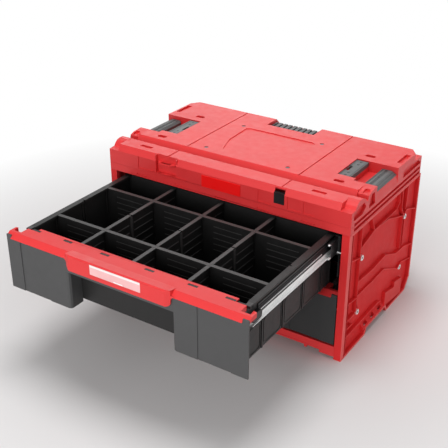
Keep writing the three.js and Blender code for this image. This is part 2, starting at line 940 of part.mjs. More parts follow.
const eyePocketBack = front + eyePocketDepth;
const eyePocketFoot = frontSeam + eyePocketRise;

function eyePocket(lid) {
  const backing = box(
    around(eyeCentre, eyePocketWidth + 2 * lidWall),
    [front + bandRecessDepth, eyePocketBack + lidWall],
    [frontSeam, lidTop - lidWall / 2],
  );
  const pocket = box(
    around(eyeCentre, eyePocketWidth),
    [front - overrun, eyePocketBack],
    [eyePocketFoot, lidTop + overrun],
  );
  return cut(join(lid, backing), pocket);
}

// The eye for a padlock is a plate on the back of its pocket, with a pierced tab.
function lockEye() {
  const plateBack = eyePocketBack - seatGap;
  const tabFoot = frontSeam + eyeTabRise;
  const plate = box(
    around(eyeCentre, eyePlateWidth),
    [plateBack - eyePlateThickness, plateBack],
    [tabFoot - eyePlateDrop, tabFoot + eyeTabThickness],
  );
  const tabFront = front - eyeProud;
  const half = eyeTabWidth / 2;
  const outline = [
    [eyeCentre - half, plateBack],
    [eyeCentre - half, tabFront + eyeTabCorner],
    [eyeCentre - half + eyeTabCorner, tabFront],
    [eyeCentre + half - eyeTabCorner, tabFront],
    [eyeCentre + half, tabFront + eyeTabCorner],
    [eyeCentre + half, plateBack],
  ];
  const tab = prismZ(outline, [tabFoot, tabFoot + eyeTabThickness]);
  const slot = box(
    around(eyeCentre, eyeSlotLength),
    [tabFront + eyeFrontWall, tabFront + eyeFrontWall + eyeSlotWidth],
    [tabFoot - overrun, tabFoot + eyeTabThickness + overrun],
  );
  return cut(join(plate, tab), slot);
}

function lockPocket(lid) {
  const width = lockWidth + 2 * lockSideGap;
  const back = front - lockProud + lockPocketDepth;
  const top = lockFoot + lockHeight + lockTravel + lockSideGap;
  const backing = box(
    around(lockCentre, width + 2 * lidWall),
    [front + bandRecessDepth, back + lidWall],
    [frontSeam, lidFaceTop],
  );
  const pocket = box(
    around(lockCentre, width),
    [front - overrun, back],
    [lockFoot - seatGap, top],
  );
  return cut(join(lid, backing), pocket);
}

function lid() {
  let cover = join(lidBody(), ...pitPads());
  cover = cut(cover, ...lidGrooves(), lidPanel(), ...lidPits(), ...bandRecesses());
  for (const side of [1, -1]) {
    cover = cut(sideCutout(cover, side), ...sideGrooves(side), ...endPockets(side));
  }
  cover = lockPocket(eyePocket(rearRecess(cover)));
  for (const [, x, y] of screwPlaces()) {
    cover = screwSeat(cover, x, y);
  }
  return cover;
}

function labelPlate() {
  return box(
    [-labelHalfWidth, labelHalfWidth],
    [front - seatGap - labelThickness, front - seatGap],
    [frontSeam + labelRise, frontSeam + labelRise + labelHeight],
  );
}

function lockSlider() {
  return box(
    around(lockCentre, lockWidth),
    [front - lockProud, front - lockProud + lockDepth],
    [lockFoot, lockFoot + lockHeight],
  );
}

function innerAdapter(side) {
  const xs = across(side, cutInner + seatGap, cutInner + innerAdapterWidth - seatGap);
  const top = lidTop - innerAdapterDrop;
  const zs = [top - innerAdapterThickness, top];
  const through = [zs[0] - overrun, zs[1] + overrun];
  const adapterFront = cutFront + adapterFrontGap;
  const notch = box(
    across(side, cutInner - overrun, cutInner + innerNotchDepth),
    [adapterFront + innerNotchStart, adapterFront + innerNotchStart + innerNotchLength],
    through,
  );
  const holeLine = side * (cutInner + innerAdapterWidth / 2);
  const holes = innerHoleShares.map((share) => {
    const y = adapterFront + share * innerAdapterLength;
    return rodZ(adapterHole, through, holeLine, y);
  });
  return cut(box(xs, [adapterFront, adapterFront + innerAdapterLength], zs), notch, ...holes);
}

function outerAdapter(side) {
  const foot = cutFloor + seatGap;
  const top = foot + outerAdapterThickness;
  const inner = halfWidth - outerAdapterInset;
  const outer = inner + outerAdapterWidth;
  const adapterFront = outerCutFront + adapterFrontGap;
  const section = [
    [side * inner, foot],
    [side * outer, foot],
    [side * outer, top - outerAdapterSlopeDrop],
    [side * (outer - outerAdapterSlopeRun), top],
    [side * (inner + outerAdapterBevel), top],
    [side * inner, top - outerAdapterBevel],
  ];
  const ys = [adapterFront, adapterFront + outerAdapterLength];
  const body = prismY(side > 0 ? section : section.reverse(), ys);
  const holeLine = side * (inner + outerAdapterBevel + outer - outerAdapterSlopeRun) / 2;
  const holes = outerHoleShares.map((share) => rodZ(
    adapterHole,
    [foot - overrun, top + overrun],
    holeLine,
    adapterFront + share * outerAdapterLength,
  ));
  return cut(body, ...holes);
}

function rearLatch() {
  const half = recessHalfWidth - latchSideGap;
  const foot = recessFloor + seatGap;
  const top = foot + latchHeight;
  const ys = [recessFront + seatGap, recessFront + seatGap + latchLength];
  const slots = [];
  for (let i = 0; i < latchSlotCount; i += 1) {
    const x = -half + (2 * half * (i + 1 / 2)) / latchSlotCount;
    slots.push(box(
      around(x, latchSlotWidth),
      [ys[0] + latchSlotInset, ys[1] + overrun],
      [top - latchSlotDepth, top + overrun],
    ));
  }
  return cut(box([-half, half], ys, [foot, top]), ...slots);
}

function frontHeader() {
  const zs = [sideSeam + seatGap, frontSeam - seatGap];
  const bar = box([-halfWidth, halfWidth], [front, front + headerDepth], zs);
  const hollow = box(
    [-halfWidth + headerWall, halfWidth - headerWall],
    [front + headerWall, front + headerDepth + overrun],
    [zs[0] + headerWall, zs[1] - headerWall],
  );
  const slots = [];
  for (let i = 0; i < headerSlotCount; i += 1) {
    const x = (i - (headerSlotCount - 1) / 2) * headerSlotPitch;
    slots.push(box(
      around(x, headerSlotLength),
      [front - overrun, front + headerSlotDepth],
      around(sideSeam + headerSlotRise, headerSlotHeight),
    ));
  }
  return cut(bar, hollow, ...slots);
}

// Drawer, drawn shut, with heights counted from its foot

// The front and the grip leave room for the ends of the outer rails and their brackets.
function railRooms() {
  return [1, -1].map((side) => box(
    across(side, slideInner - railRoomGap, slideOuter + 2 * railRoomGap + bracketThickness),
    [front + railRoomInset - railRoomGap, front + gripRear + overrun],
    [bracketFoot - railRoomGap, gripTop + overrun],
  ));
}

// Points on a quarter turn around a centre, from one angle back to another.
function quarter(x, z, radius, from) {
  const points = [];
  for (let i = 0; i <= gripCurveSides; i += 1) {
    const turn = from - (Math.PI / 2) * (i / gripCurveSides);
    points.push([x + Math.cos(turn) * radius, z + Math.sin(turn) * radius]);
  }
  return points;
}

// A prism along Y from an outline that is drawn for the right side.
function sidePrism(side, points, ys) {
  return prismY(side > 0 ? points : points.map(([x, z]) => [-x, z]).reverse(), ys);
}

// The round corner of a front block, where the grip's wing turns down into its centre.
function blockCorner(side, grown, ys) {
  const x = frontBlockInner + gripCurve;
  const z = gripSeat - gripCurve;
  const points = [
    [x, gripSeat + overrun],
    [frontBlockInner - overrun, gripSeat + overrun],
    [frontBlockInner - overrun, z],
    ...quarter(x, z, gripCurve + grown, Math.PI),
  ];
  return sidePrism(side, points, ys);
}

// What lies outside the round lower corner of the grip's centre.
function centreCorner(side, grown, ys) {
  const x = frontBlockInner - gripCurve;
  const z = gripCentreFoot + gripCurve;
  const points = [
    [x, gripCentreFoot - grown - overrun],
    [frontBlockInner + grown + overrun, gripCentreFoot - grown - overrun],
    [frontBlockInner + grown + overrun, z],
    ...quarter(x, z, gripCurve + grown, 0),
  ];
  return sidePrism(side, points, ys);
}

// One side block of the front, open at the back, with a thin plate that reaches past the bin.
function frontBlock(side) {
  const back = front + frontDepth;
  const inner = frontBlockInner;
  const outer = binHalfWidth;
  const round = frontBlockCorner;
  const outline = [
    [side * inner, back],
    [side * inner, front + round],
    [side * (inner + round / 3), front + round / 3],
    [side * (inner + round), front],
    [side * outer, front],
    [side * outer, back],
  ];
  const shell = prismZ(side > 0 ? outline : outline.reverse(), [0, frontTop]);
  const hollow = box(
    across(side, inner + frontWall, outer - frontWall),
    [front + frontWall + frontStepDepth, back + overrun],
    [frontWall, frontTop - frontWall],
  );
  const plate = box(
    across(side, outer - frontWall, frontHalfWidth),
    [front, front + frontWall],
    [0, frontTop],
  );
  const ear = box(
    across(side, frontHalfWidth - frontEarWidth, frontHalfWidth),
    [front, front + frontWall],
    [frontTop - overrun, gripTop - gripPlate - seatGap],
  );
  const span = frontHalfWidth - inner;
  const step = box(
    across(side, inner + frontStepShares[0] * span, inner + frontStepShares[1] * span),
    [front - overrun, front + frontStepDepth],
    [-overrun, frontTop + overrun],
  );
  return cut(join(cut(shell, hollow), plate, ear), step);
}

// The lip below the grip's centre goes on up beside it to the blocks.
function frontLip() {
  const half = frontBlockInner + frontBlockCorner;
  const ys = [front - overrun, front + frontLipThickness + overrun];
  const plate = box(
    [-half, half],
    [front, front + frontLipThickness],
    [gripCentreFoot - seatGap - frontLipHeight, frontTop],
  );
  const room = box(
    [-frontBlockInner - seatGap, frontBlockInner + seatGap],
    ys,
    [gripCentreFoot - seatGap, frontTop + overrun],
  );
  return cut(plate, cut(room, ...[1, -1].map((side) => centreCorner(side, seatGap, ys))));
}

function drawerFront() {
  const inner = frontBlockInner + frontWall / 2;
  const roof = box(
    [-inner, inner],
    [front + gripCentreWall + seatGap, front + frontDepth],
    [frontTop - frontWall, frontTop],
  );
  const ys = [front - overrun, front + gripCentreWall + seatGap];
  const corners = [1, -1].map((side) => blockCorner(side, 0, ys));
  return cut(join(frontBlock(1), frontBlock(-1), frontLip(), roof), ...corners);
}

function clipSlots(grown) {
  return clipShares.map((share) => box(
    around(share * frontHalfWidth, clipLength + 2 * grown),
    around(front + clipInset, clipWidth + 2 * grown),
    [gripTop - gripPlate - overrun, gripTop + overrun],
  ));
}

// The grip's plate steps back towards its ends, where it leaves room for the front's ears.
function tipCorner(side, high) {
  const edge = frontHalfWidth + overrun;
  const back = front + gripTipRear + overrun;
  const outline = [
    [side * (edge - gripTipCorner), back],
    [side * edge, back - gripTipCorner],
    [side * edge, back],
  ];
  return prismZ(side > 0 ? outline : outline.reverse(), [gripSeat - overrun, high]);
}

function gripEnds() {
  const tools = [];
  const high = gripTop + gripLugHeight + overrun;
  for (const side of [1, -1]) {
    tools.push(
      box(
        across(side, frontHalfWidth - gripStepWidth, frontHalfWidth + overrun),
        [front + gripStepRear, front + gripRear + overrun],
        [gripSeat - overrun, high],
      ),
      box(
        across(side, frontHalfWidth - gripTipWidth, frontHalfWidth + overrun),
        [front + gripTipRear, front + gripRear + overrun],
        [gripSeat - overrun, high],
      ),
      box(
        across(side, frontHalfWidth - frontEarWidth - seatGap, frontHalfWidth + overrun),
        [front - gripProud - overrun, front + frontWall + seatGap],
        [gripSeat - overrun, gripTop - gripPlate],
      ),
      tipCorner(side, high),
    );
  }
  return tools;
}

function grip() {
  const back = front + frontDepth;
  const wing = [
    [front - gripProud, gripSeat],
    [back, gripSeat],
    [back, gripTop - gripPlate],
    [front + gripRear, gripTop - gripPlate],
    [front + gripRear, gripTop],
    [front - gripProud + gripSlopeRun, gripTop],
  ];
  const centre = [
    [front - gripCentreProud, gripCentreFoot],
    [front - gripCentreProud + gripCentreWall + gripProud, gripCentreFoot],
    [front - gripCentreProud + gripCentreWall + gripProud, gripSeat],
    [front - gripCentreProud + gripCentreRun, gripSeat],
    [front - gripCentreProud + gripCentreRun, gripTop],
    [front - gripCentreProud + gripCentreEdge, gripTop + gripCentreRise],
    [front - gripCentreProud, gripTop + gripCentreRise - gripCentreEdge],
  ];
  const centreFront = front - gripCentreProud;
  const shoulders = [1, -1].map((side) => {
    const outline = [
      [side * (frontBlockInner + overrun), centreFront - overrun],
      [side * (frontBlockInner + overrun), front - gripProud],
      [side * frontBlockInner, front - gripProud],
      [side * (frontBlockInner - gripCentreCorner), centreFront],
      [side * (frontBlockInner - gripCentreCorner), centreFront - overrun],
    ];
    const zs = [gripCentreFoot - overrun, gripTop + gripCentreRise + overrun];
    return prismZ(side > 0 ? outline : outline.reverse(), zs);
  });
  const lugs = [1, -1].map((side) => box(
    across(side, frontHalfWidth - gripTipCorner - gripLugWidth, frontHalfWidth - gripTipCorner),
    [front + gripTipRear - gripLugLength, front + gripTipRear],
    [gripTop - gripPlate, gripTop + gripLugHeight],
  ));
  const covers = [1, -1].map((side) => box(
    across(side, frontHalfWidth - frontEarWidth - gripSlopeRun / 2, frontHalfWidth),
    [front - gripProud + gripSlopeRun, front + gripTipRear],
    [gripTop - gripPlate, gripTop],
  ));
  const windowSeat = box(
    around(0, windowWidth + 2 * seatGap),
    [centreFront - overrun, centreFront + windowDepth],
    [gripCentreFoot + windowRise - seatGap, gripCentreFoot + windowRise + windowHeight + seatGap],
  );
  const cornerSpan = [centreFront - overrun, front + gripCentreWall + overrun];
  const rounds = [1, -1].map((side) => centreCorner(side, 0, cornerSpan));
  const curves = [1, -1].map(
    (side) => blockCorner(side, seatGap, [front - gripProud, front + gripCentreWall]),
  );
  const bar = join(
    prismX(wing, [-frontHalfWidth, frontHalfWidth]),
    cut(prismX(centre, [-frontBlockInner, frontBlockInner]), ...shoulders, ...rounds),
    ...curves,
    ...lugs,
    ...covers,
  );
  return cut(bar, ...gripEnds(), ...railRooms(), windowSeat, ...clipSlots(clipGap));
}

function labelWindow() {
  return box(
    around(0, windowWidth),
    [front - gripCentreProud + seatGap / 2, front - gripCentreProud + windowDepth - seatGap],
    [gripCentreFoot + windowRise, gripCentreFoot + windowRise + windowHeight],
  );
}

const binFront = front + frontDepth + seatGap;
const binRear = rear - binRearGap;
const binLength = binRear - binFront;

const crossDividerLines = crossDividerShares.map((share) => binFront + share * binLength);
const notchLine = crossDividerLines[0] + notchShare * (crossDividerLines[1] - crossDividerLines[0]);

function bin() {
  const outer = box([-binHalfWidth, binHalfWidth], [binFront, binRear], [binFoot, binTop]);
  const inner = box(
    [-binHalfWidth + binWall, binHalfWidth - binWall],
    [binFront + binWall, binRear - binWall],
    [binFoot + binFloor, binTop + overrun],
  );
  const rim = box(
    [-binHalfWidth - binRim, binHalfWidth + binRim],
    [binFront + binRim, binRear + binRearRim],
    [binTop - binRimHeight, binTop],
  );
  const ribs = [];
  for (const side of [1, -1]) {
    for (const share of binRibShares) {
      ribs.push(box(
        across(side, binHalfWidth - binWall / 2, binHalfWidth + binRibDepth),
        around(binFront + share * binLength, binRibWidth),
        [binFoot, slideLevel - outerRailHeight / 2 - binRibClearance],
      ));
    }
  }
  const innerRims = [1, -1].map((side) => box(
    across(side, binHalfWidth - binWall - binInnerRim, binHalfWidth),
    [binFront + binWall / 2, binRear - binWall / 2],
    [binTop - binRimHeight, binTop],
  ));
  const notches = [1, -1].map((side) => box(
    across(side, binHalfWidth - binWall - binInnerRim - overrun, binHalfWidth - binWall),
    around(notchLine, notchWidth),
    [binTop - binRimHeight - overrun, binTop + overrun],
  ));
  const belowGrip = box(
    [-binHalfWidth - binRim - overrun, binHalfWidth + binRim + overrun],
    [binFront - overrun, front + gripRear + seatGap],
    [gripTop - gripPlate - seatGap, binTop + overrun],
  );
  const clips = clipShares.map((share) => box(
    around(share * frontHalfWidth, clipLength),
    around(front + clipInset, clipWidth),
    [binTop - 2 * binRimHeight, gripTop - seatGap],
  ));
  const shelf = box(
    [-binHalfWidth + binWall / 2, binHalfWidth - binWall / 2],
    [binFront + binWall / 2, front + clipInset + clipWidth],
    [binTop - 2 * binRimHeight, gripTop - gripPlate - seatGap],
  );
  const tray = cut(join(outer, rim, ...ribs), inner);
  return join(cut(join(tray, ...innerRims, shelf), ...notches, belowGrip), ...clips);
}

const dividerFoot = binFoot + binFloor + seatGap;
const dividerTop = binTop - seatGap;
const dividerHalving = (dividerFoot + dividerTop) / 2;

function dividerSection(centre, thickness) {
  const flangeFoot = dividerTop - dividerFlangeHeight;
  return [
    [centre - thickness / 2, dividerFoot],
    [centre + thickness / 2, dividerFoot],
    [centre + thickness / 2, flangeFoot],
    [centre + dividerFlange / 2, flangeFoot],
    [centre + dividerFlange / 2, dividerTop],
    [centre - dividerFlange / 2, dividerTop],
    [centre - dividerFlange / 2, flangeFoot],
    [centre - thickness / 2, flangeFoot],
  ];
}

// A long divider has its slots at the top, where the cross dividers drop in.
function longDivider(x) {
  const shelfRear = front + clipInset + clipWidth + seatGap;
  const ys = [binFront + binWall + seatGap, binRear - binWall - seatGap];
  const body = prismY(dividerSection(x, dividerThickness), ys);
  const shelfRoom = box(
    around(x, dividerFlange + overrun),
    [binFront, shelfRear],
    [binTop - 2 * binRimHeight - seatGap, binTop + overrun],
  );
  const gripRoom = box(
    around(x, dividerFlange + overrun),
    [binFront, front + gripRear + seatGap],
    [gripTop - gripPlate - seatGap, binTop + overrun],
  );
  const slots = crossDividerLines.map((y) => box(
    around(x, dividerFlange + overrun),
    around(y, dividerFlange + 2 * dividerGap),
    [dividerHalving, dividerTop + overrun],
  ));
  const notch = box(
    around(x, dividerFlange + overrun),
    around(notchLine, notchWidth),
    [dividerTop - dividerFlangeHeight, dividerTop + overrun],
  );
  return cut(body, shelfRoom, gripRoom, notch, ...slots);
}

function crossDivider(y) {
  const half = binHalfWidth - binWall - seatGap;
  const body = prismX(dividerSection(y, dividerThickness), [-half, half]);
  const slots = longDividerShares.map((share) => box(
    around(share * binHalfWidth, dividerThickness + 2 * dividerGap),
    around(y, dividerFlange + overrun),
    [dividerFoot - overrun, dividerHalving + seatGap],
  ));
  const rimRooms = [1, -1].map((side) => box(
    across(side, binHalfWidth - binWall - binInnerRim - seatGap, binHalfWidth),
    around(y, dividerFlange + overrun),
    [binTop - binRimHeight - seatGap, binTop + overrun],
  ));
  return cut(body, ...slots, ...rimRooms);
}

// Slides

// A channel along Y with its back at one distance from the middle plane and its flanges
// reaching to another.
function channel(side, back, reach, height, ys) {
  const outward = reach > back;
  const web = outward ? [back, back + slideSheet] : [back - slideSheet, back];
  const flange = outward ? [back, reach] : [reach, back];
  const low = slideLevel - height / 2;
  const high = slideLevel + height / 2;
  return join(
    box(across(side, ...web), ys, [low, high]),
    box(across(side, ...flange), ys, [low, low + slideSheet]),
    box(across(side, ...flange), ys, [high - slideSheet, high]),
  );
}

// The inner rail runs between the flanges of the middle rail.
const innerRailHeight = middleRailHeight - 2 * (slideSheet + seatGap);

function innerRail(side) {
  return channel(side, slideInner, slideInner + innerFlangeReach, innerRailHeight,
    [front + innerRailFront, rear - innerRailRearGap]);
}

function middleRail(side) {
  const back = slideOuter - slideSheet - seatGap;
  const rail = channel(side, back, slideInner + 2 * middleFlangeInset, middleRailHeight,
    [front + middleRailFront, rear - railRearGap]);
  const hole = rodX(
    stopHoleRadius,
    across(side, back - slideSheet - overrun, back + overrun),
    front + middleRailFront + middleRailHeight / 2,
    slideLevel,
  );
  return cut(rail, hole);
}

function outerRail(side) {
  return channel(side, slideOuter, slideInner + middleFlangeInset, outerRailHeight,
    [front + outerRailFront, rear - railRearGap]);
}

function bracket(side) {
  const inner = slideOuter + seatGap;
  const top = slideLevel + outerRailHeight / 2;
  const ys = [front + bracketFront, rear - bracketRearGap];
  const plate = box(across(side, inner, inner + bracketThickness), ys, [bracketFoot, top]);
  let drilled = plate;
  for (const inset of [frontBoltInset, rearBoltInset]) {
    const y = front + inset;
    const bossSpan = across(side, inner + bracketThickness / 2, webInner - seatGap);
    const holeSpan = across(side, webInner - boltReach - seatGap, webInner + overrun);
    const boss = rodX(bossRadius, bossSpan, y, boltLevel);
    const hole = rodX(boltRadius + boltClearance, holeSpan, y, boltLevel);
    drilled = cut(join(drilled, boss), hole);
  }
  return drilled;
}

function bolt(side, inset) {
  const seat = boltPadTop + seatGap;
  const y = front + inset;
  const shankEnd = seat + boltHeadHeight / 2;
  const shank = rodX(boltRadius, across(side, webInner - boltReach, shankEnd), y, boltLevel);
  const head = rodX(boltHeadRadius, across(side, seat, seat + boltHeadHeight), y, boltLevel);
  const socket = rodX(
    boltSocketRadius,
    across(side, seat + boltHeadHeight - boltSocketDepth, seat + boltHeadHeight + overrun),
    y,
    boltLevel,
  );
  return cut(join(shank, head), socket);
}

// The assembly

function addDrawer(level, foot, pulled) {
  const drawer = new THREE.Group();
  drawer.position.set(0, -pulled, foot);
  place(`${level}_bin`, bin(), darkPlastic, drawer);
  place(`${level}_front`, drawerFront(), greyPlastic, drawer);
  place(`${level}_grip`, grip(), redPlastic, drawer);
  place(`${level}_label_window`, labelWindow(), clearPlastic, drawer);
  longDividerShares.forEach((share, i) => {
    const name = `${level}_${longDividerNames[i]}_long_divider`;
    place(name, longDivider(share * binHalfWidth), darkPlastic, drawer);
  });
  place(`${level}_front_cross_divider`, crossDivider(crossDividerLines[0]), darkPlastic, drawer);
  place(`${level}_rear_cross_divider`, crossDivider(crossDividerLines[1]), darkPlastic, drawer);

  const middles = new THREE.Group();
  middles.position.set(0, -pulled / 2, foot);
  const mounts = new THREE.Group();
  mounts.position.set(0, 0, foot);
  for (const [name, side] of [['left', -1], ['right', 1]]) {
    place(`${level}_${name}_inner_rail`, innerRail(side), steel, drawer);
    place(`${level}_${name}_middle_rail`, middleRail(side), steel, middles);
    place(`${level}_${name}_outer_rail`, outerRail(side), darkSteel, mounts);
    place(`${level}_${name}_bracket`, bracket(side), blackPlastic, mounts);
    place(`${level}_${name}_front_bolt`, bolt(side, frontBoltInset), steel, mounts);
    place(`${level}_${name}_rear_bolt`, bolt(side, rearBoltInset), steel, mounts);
  }
  toolbox.add(drawer, middles, mounts);
}

for (const [name, side] of [['left', -1], ['right', 1]]) {
  place(`${name}_side_panel`, sidePanel(side), redPlastic);
  place(`${name}_inner_adapter`, innerAdapter(side), greyPlastic);
  place(`${name}_outer_adapter`, outerAdapter(side), greyPlastic);
}
place('base_panel', basePanel(), redPlastic);
place('back_panel', backPanel(), redPlastic);
place('top_cover', lid(), redPlastic);
place('front_header', frontHeader(), redPlastic);
place('label_plate', labelPlate(), labelRed);
place('lock_eye', lockEye(), redPlastic);
place('lock_slider', lockSlider(), blackPlastic);
place('rear_latch', rearLatch(), greyPlastic);
for (const [name, x, y] of screwPlaces()) {
  place(`lid_screw_${name}`, lidScrew(x, y), darkSteel);
}
addDrawer('upper', upperDrawerFoot, drawerTravel);
addDrawer('lower', lowerDrawerFoot, 0);

export default toolbox;
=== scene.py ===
import json
import math

import bmesh
import bpy
from mathutils import Matrix, Vector


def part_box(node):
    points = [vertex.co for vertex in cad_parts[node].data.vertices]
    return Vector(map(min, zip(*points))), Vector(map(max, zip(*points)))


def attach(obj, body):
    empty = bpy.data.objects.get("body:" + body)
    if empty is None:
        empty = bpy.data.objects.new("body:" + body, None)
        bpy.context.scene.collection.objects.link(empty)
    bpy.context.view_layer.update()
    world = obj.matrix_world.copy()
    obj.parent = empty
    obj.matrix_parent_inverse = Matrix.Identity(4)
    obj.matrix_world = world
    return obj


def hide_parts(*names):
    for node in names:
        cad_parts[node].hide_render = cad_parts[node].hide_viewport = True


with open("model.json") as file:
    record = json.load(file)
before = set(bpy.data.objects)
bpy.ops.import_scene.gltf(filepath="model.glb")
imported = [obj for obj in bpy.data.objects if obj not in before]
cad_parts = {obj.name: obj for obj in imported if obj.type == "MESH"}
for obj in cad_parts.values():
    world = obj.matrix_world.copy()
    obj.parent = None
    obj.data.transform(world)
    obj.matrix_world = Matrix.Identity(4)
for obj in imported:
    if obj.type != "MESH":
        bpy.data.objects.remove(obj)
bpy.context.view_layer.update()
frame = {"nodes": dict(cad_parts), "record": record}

# The tool box with its detail and its materials. Lengths are in metres, in the frame of the
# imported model: X runs to the right, Y to the back and Z up. Angles are in degrees.

# Names and axes that repeat below
LEVELS = ("upper", "lower")
SIDES = {"left": -1.0, "right": 1.0}
LONG_DIVIDERS = ("left", "middle", "right")
CROSS_DIVIDERS = ("front", "rear")
BOLTS = ("front", "rear")
X, Y, Z = range(3)

# Camera, fitted to the photograph
CAMERA_PLACE = (0.86196, -1.48588, 1.04526)
CAMERA_AZIMUTH = 33.147
CAMERA_ELEVATION = 27.368
CAMERA_ROLL = 0.085
CAMERA_LENS = 67.98
CAMERA_SENSOR = 36.0

# Lamps, each with its name, place, aim, width and power in watts
LAMPS = (
    ("key", (0.0, -0.05, 2.4), (0.0, -0.1, 0.1), 1.1, 32.0),
    ("fill", (0.2, -2.4, 0.8), (0.0, -0.3, 0.2), 1.6, 35.0),
    ("side", (2.3, 0.45, 0.9), (0.25, 0.0, 0.15), 1.3, 13.0),
    ("sheen", (-1.35, 2.05, 1.25), (0.0, 0.0, 0.3), 1.8, 10.0),
)
WORLD_STRENGTH = 0.16
WHITE_STRENGTH = 1.0

# Floor, which turns to plain white between two distances from a point under the box
FLOOR_REACH = 9.0
FLOOR_TONES = (0.99, 1.0)
FLOOR_ROUGHNESS = 0.8
FLOOR_GLOSS = 0.2
WHITE_MIDDLE = (0.0, -0.1, 0.0)
WHITE_SPAN = (0.42, 1.1)


# Colours, linear

def shade(colour, share):
    return (*[channel * share for channel in colour[:3]], 1.0)


RED = (0.70, 0.032, 0.034, 1.0)
SIDE_RED = (0.70, 0.028, 0.030, 1.0)
# Painted highlight for the outer edges of the side panels' ribs
RIB_HIGHLIGHT_RED = (0.80, 0.125, 0.12, 1.0)
LABEL_RED = (0.92, 0.006, 0.006, 1.0)
GREY = (0.056, 0.056, 0.057, 1.0)
PALE_GREY = shade(GREY, 1.7)
# The grey darkened, as painted shade
GREY_PAINTED_SHADE = shade(GREY, 0.62)
DARK = (0.014, 0.0135, 0.0135, 1.0)
# The dark plastic made paler, as a painted highlight on thin ribs
HIGHLIT_DARK = shade(DARK, 2.6)
DIVIDER_WALL = shade(DARK, 0.8)
# Paler shade painted on the dividers' tops, as a highlight from above
TOP_HIGHLIGHT_DARK = shade(DARK, 3.2)
BLACK = (0.008, 0.008, 0.009, 1.0)
STEEL = (0.90, 0.90, 0.90, 1.0)
DARK_STEEL = (0.075, 0.076, 0.08, 1.0)
WINDOW = (0.84, 0.46, 0.46, 1.0)
PAPER = (0.86, 0.80, 0.79, 1.0)
FLOOR = (0.72, 0.70, 0.70, 1.0)
WHITE = (1.0, 1.0, 1.0, 1.0)

# Noises, each with its waves to the metre and its octaves. Most of their values are between 0.3
# and 0.7. In what follows, tones are shares of a colour and dullness is a span of roughness.
DRIFT_NOISE = (9.0, 4.0)
DULLNESS_NOISE = (60.0, 5.0)
GRAIN_NOISE = (1500.0, 3.0)
LINE_NOISE = (420.0, 5.0)
WINDOW_NOISE = (40.0, 3.0)
HAZE_NOISE = (300.0, 2.0)
FLOOR_NOISE = (2.0, 2.0)
NOISE_SPAN = (0.3, 0.7)

# Plastics, whose roughness drifts from SMOOTHER below its value to ROUGHER above it
MOTTLE = 0.035
GRAIN = 0.16
GRAIN_DEPTH = 0.0002
GLOSS = 0.4
LOW_GLOSS = 0.25
SMOOTHER = 0.05
ROUGHER = 0.06

# Span of a normal's Z in which the painted highlight on a top sets in
UPWARD_SPAN = (0.7, 0.95)

# Side panels, with a painted highlight on their rib edges, which are told by their distance from
# the middle plane
SIDE_TONES = (0.92, 1.06)
SIDE_GLOSS = 0.12
SIDE_DULLNESS = (0.5, 0.62)
SIDE_GRAIN = 0.14
RIB_HIGHLIGHT_SPAN = (0.2913, 0.2919)

# Lines in the steel
LINE_STRETCH = (1.0, 0.02, 1.0)
LINE_TONES = (0.86, 1.1)
LINE_SMOOTHER = 0.06
LINE_ROUGHER = 0.1
LINE_GRAIN = 0.12
LINE_DEPTH = 0.0001

# Window over the label
WINDOW_TONES = (0.96, 1.05)
WINDOW_DULLNESS = (0.16, 0.26)
WINDOW_COAT = 0.6


# Materials

def new_material(name):
    material = bpy.data.materials.new(name)
    material.use_nodes = True
    tree = material.node_tree
    return material, tree, tree.nodes["Principled BSDF"]


def noise(tree, scale, detail, stretch=(1.0, 1.0, 1.0)):
    place = tree.nodes.new("ShaderNodeTexCoord")
    mapping = tree.nodes.new("ShaderNodeMapping")
    mapping.inputs["Scale"].default_value = stretch
    texture = tree.nodes.new("ShaderNodeTexNoise")
    texture.inputs["Scale"].default_value = scale
    texture.inputs["Detail"].default_value = detail
    tree.links.new(place.outputs["Object"], mapping.inputs["Vector"])
    tree.links.new(mapping.outputs["Vector"], texture.inputs["Vector"])
    return texture.outputs["Fac"]


def ranged(tree, value, low, high, span=NOISE_SPAN):
    """Maps a span of a value to the stretch from low to high, and holds it within that."""
    node = tree.nodes.new("ShaderNodeMapRange")
    node.inputs["From Min"].default_value = span[0]
    node.inputs["From Max"].default_value = span[1]
    node.inputs["To Min"].default_value = low
    node.inputs["To Max"].default_value = high
    tree.links.new(value, node.inputs["Value"])
    return node.outputs["Result"]


def blended(tree, share, first, second):
    """A mix of two colours, of which the first may also be the output of a node."""
    node = tree.nodes.new("ShaderNodeMix")
    node.data_type = "RGBA"
    tree.links.new(share, node.inputs["Factor"])
    if isinstance(first, bpy.types.NodeSocket):
        tree.links.new(first, node.inputs["A"])
    else:
        node.inputs["A"].default_value = first
    node.inputs["B"].default_value = second
    return node.outputs["Result"]


def toned(tree, value, colour, low, high):
    """A colour that drifts with a noise between two shades of itself."""
    share = ranged(tree, value, 0.0, 1.0)
    return blended(tree, share, shade(colour, low), shade(colour, high))


def bumped(tree, shader, value, strength, distance):
    node = tree.nodes.new("ShaderNodeBump")
    node.inputs["Strength"].default_value = strength
    node.inputs["Distance"].default_value = distance
    tree.links.new(value, node.inputs["Height"])
    tree.links.new(node.outputs["Normal"], shader.inputs["Normal"])


def dullness_around(roughness):
    return roughness - SMOOTHER, roughness + ROUGHER


def dress_plastic(tree, shader, colours, gloss, dullness, grain):
    """The surface that all plastics share: colours, gloss, a drifting roughness and a grain."""
    tree.links.new(colours, shader.inputs["Base Color"])
    shader.inputs["Specular IOR Level"].default_value = gloss
    drift = ranged(tree, noise(tree, *DULLNESS_NOISE), *dullness)
    tree.links.new(drift, shader.inputs["Roughness"])
    bumped(tree, shader, noise(tree, *GRAIN_NOISE), grain, GRAIN_DEPTH)


def moulded(name, colour, roughness, grain=GRAIN, mottle=MOTTLE, gloss=GLOSS):
    """Moulded plastic: a fine grain, with small drifts of its colour and its gloss."""
    material, tree, shader = new_material(name)
    colours = toned(tree, noise(tree, *DRIFT_NOISE), colour, 1.0 - mottle, 1.0 + mottle)
    dress_plastic(tree, shader, colours, gloss, dullness_around(roughness), grain)
    return material


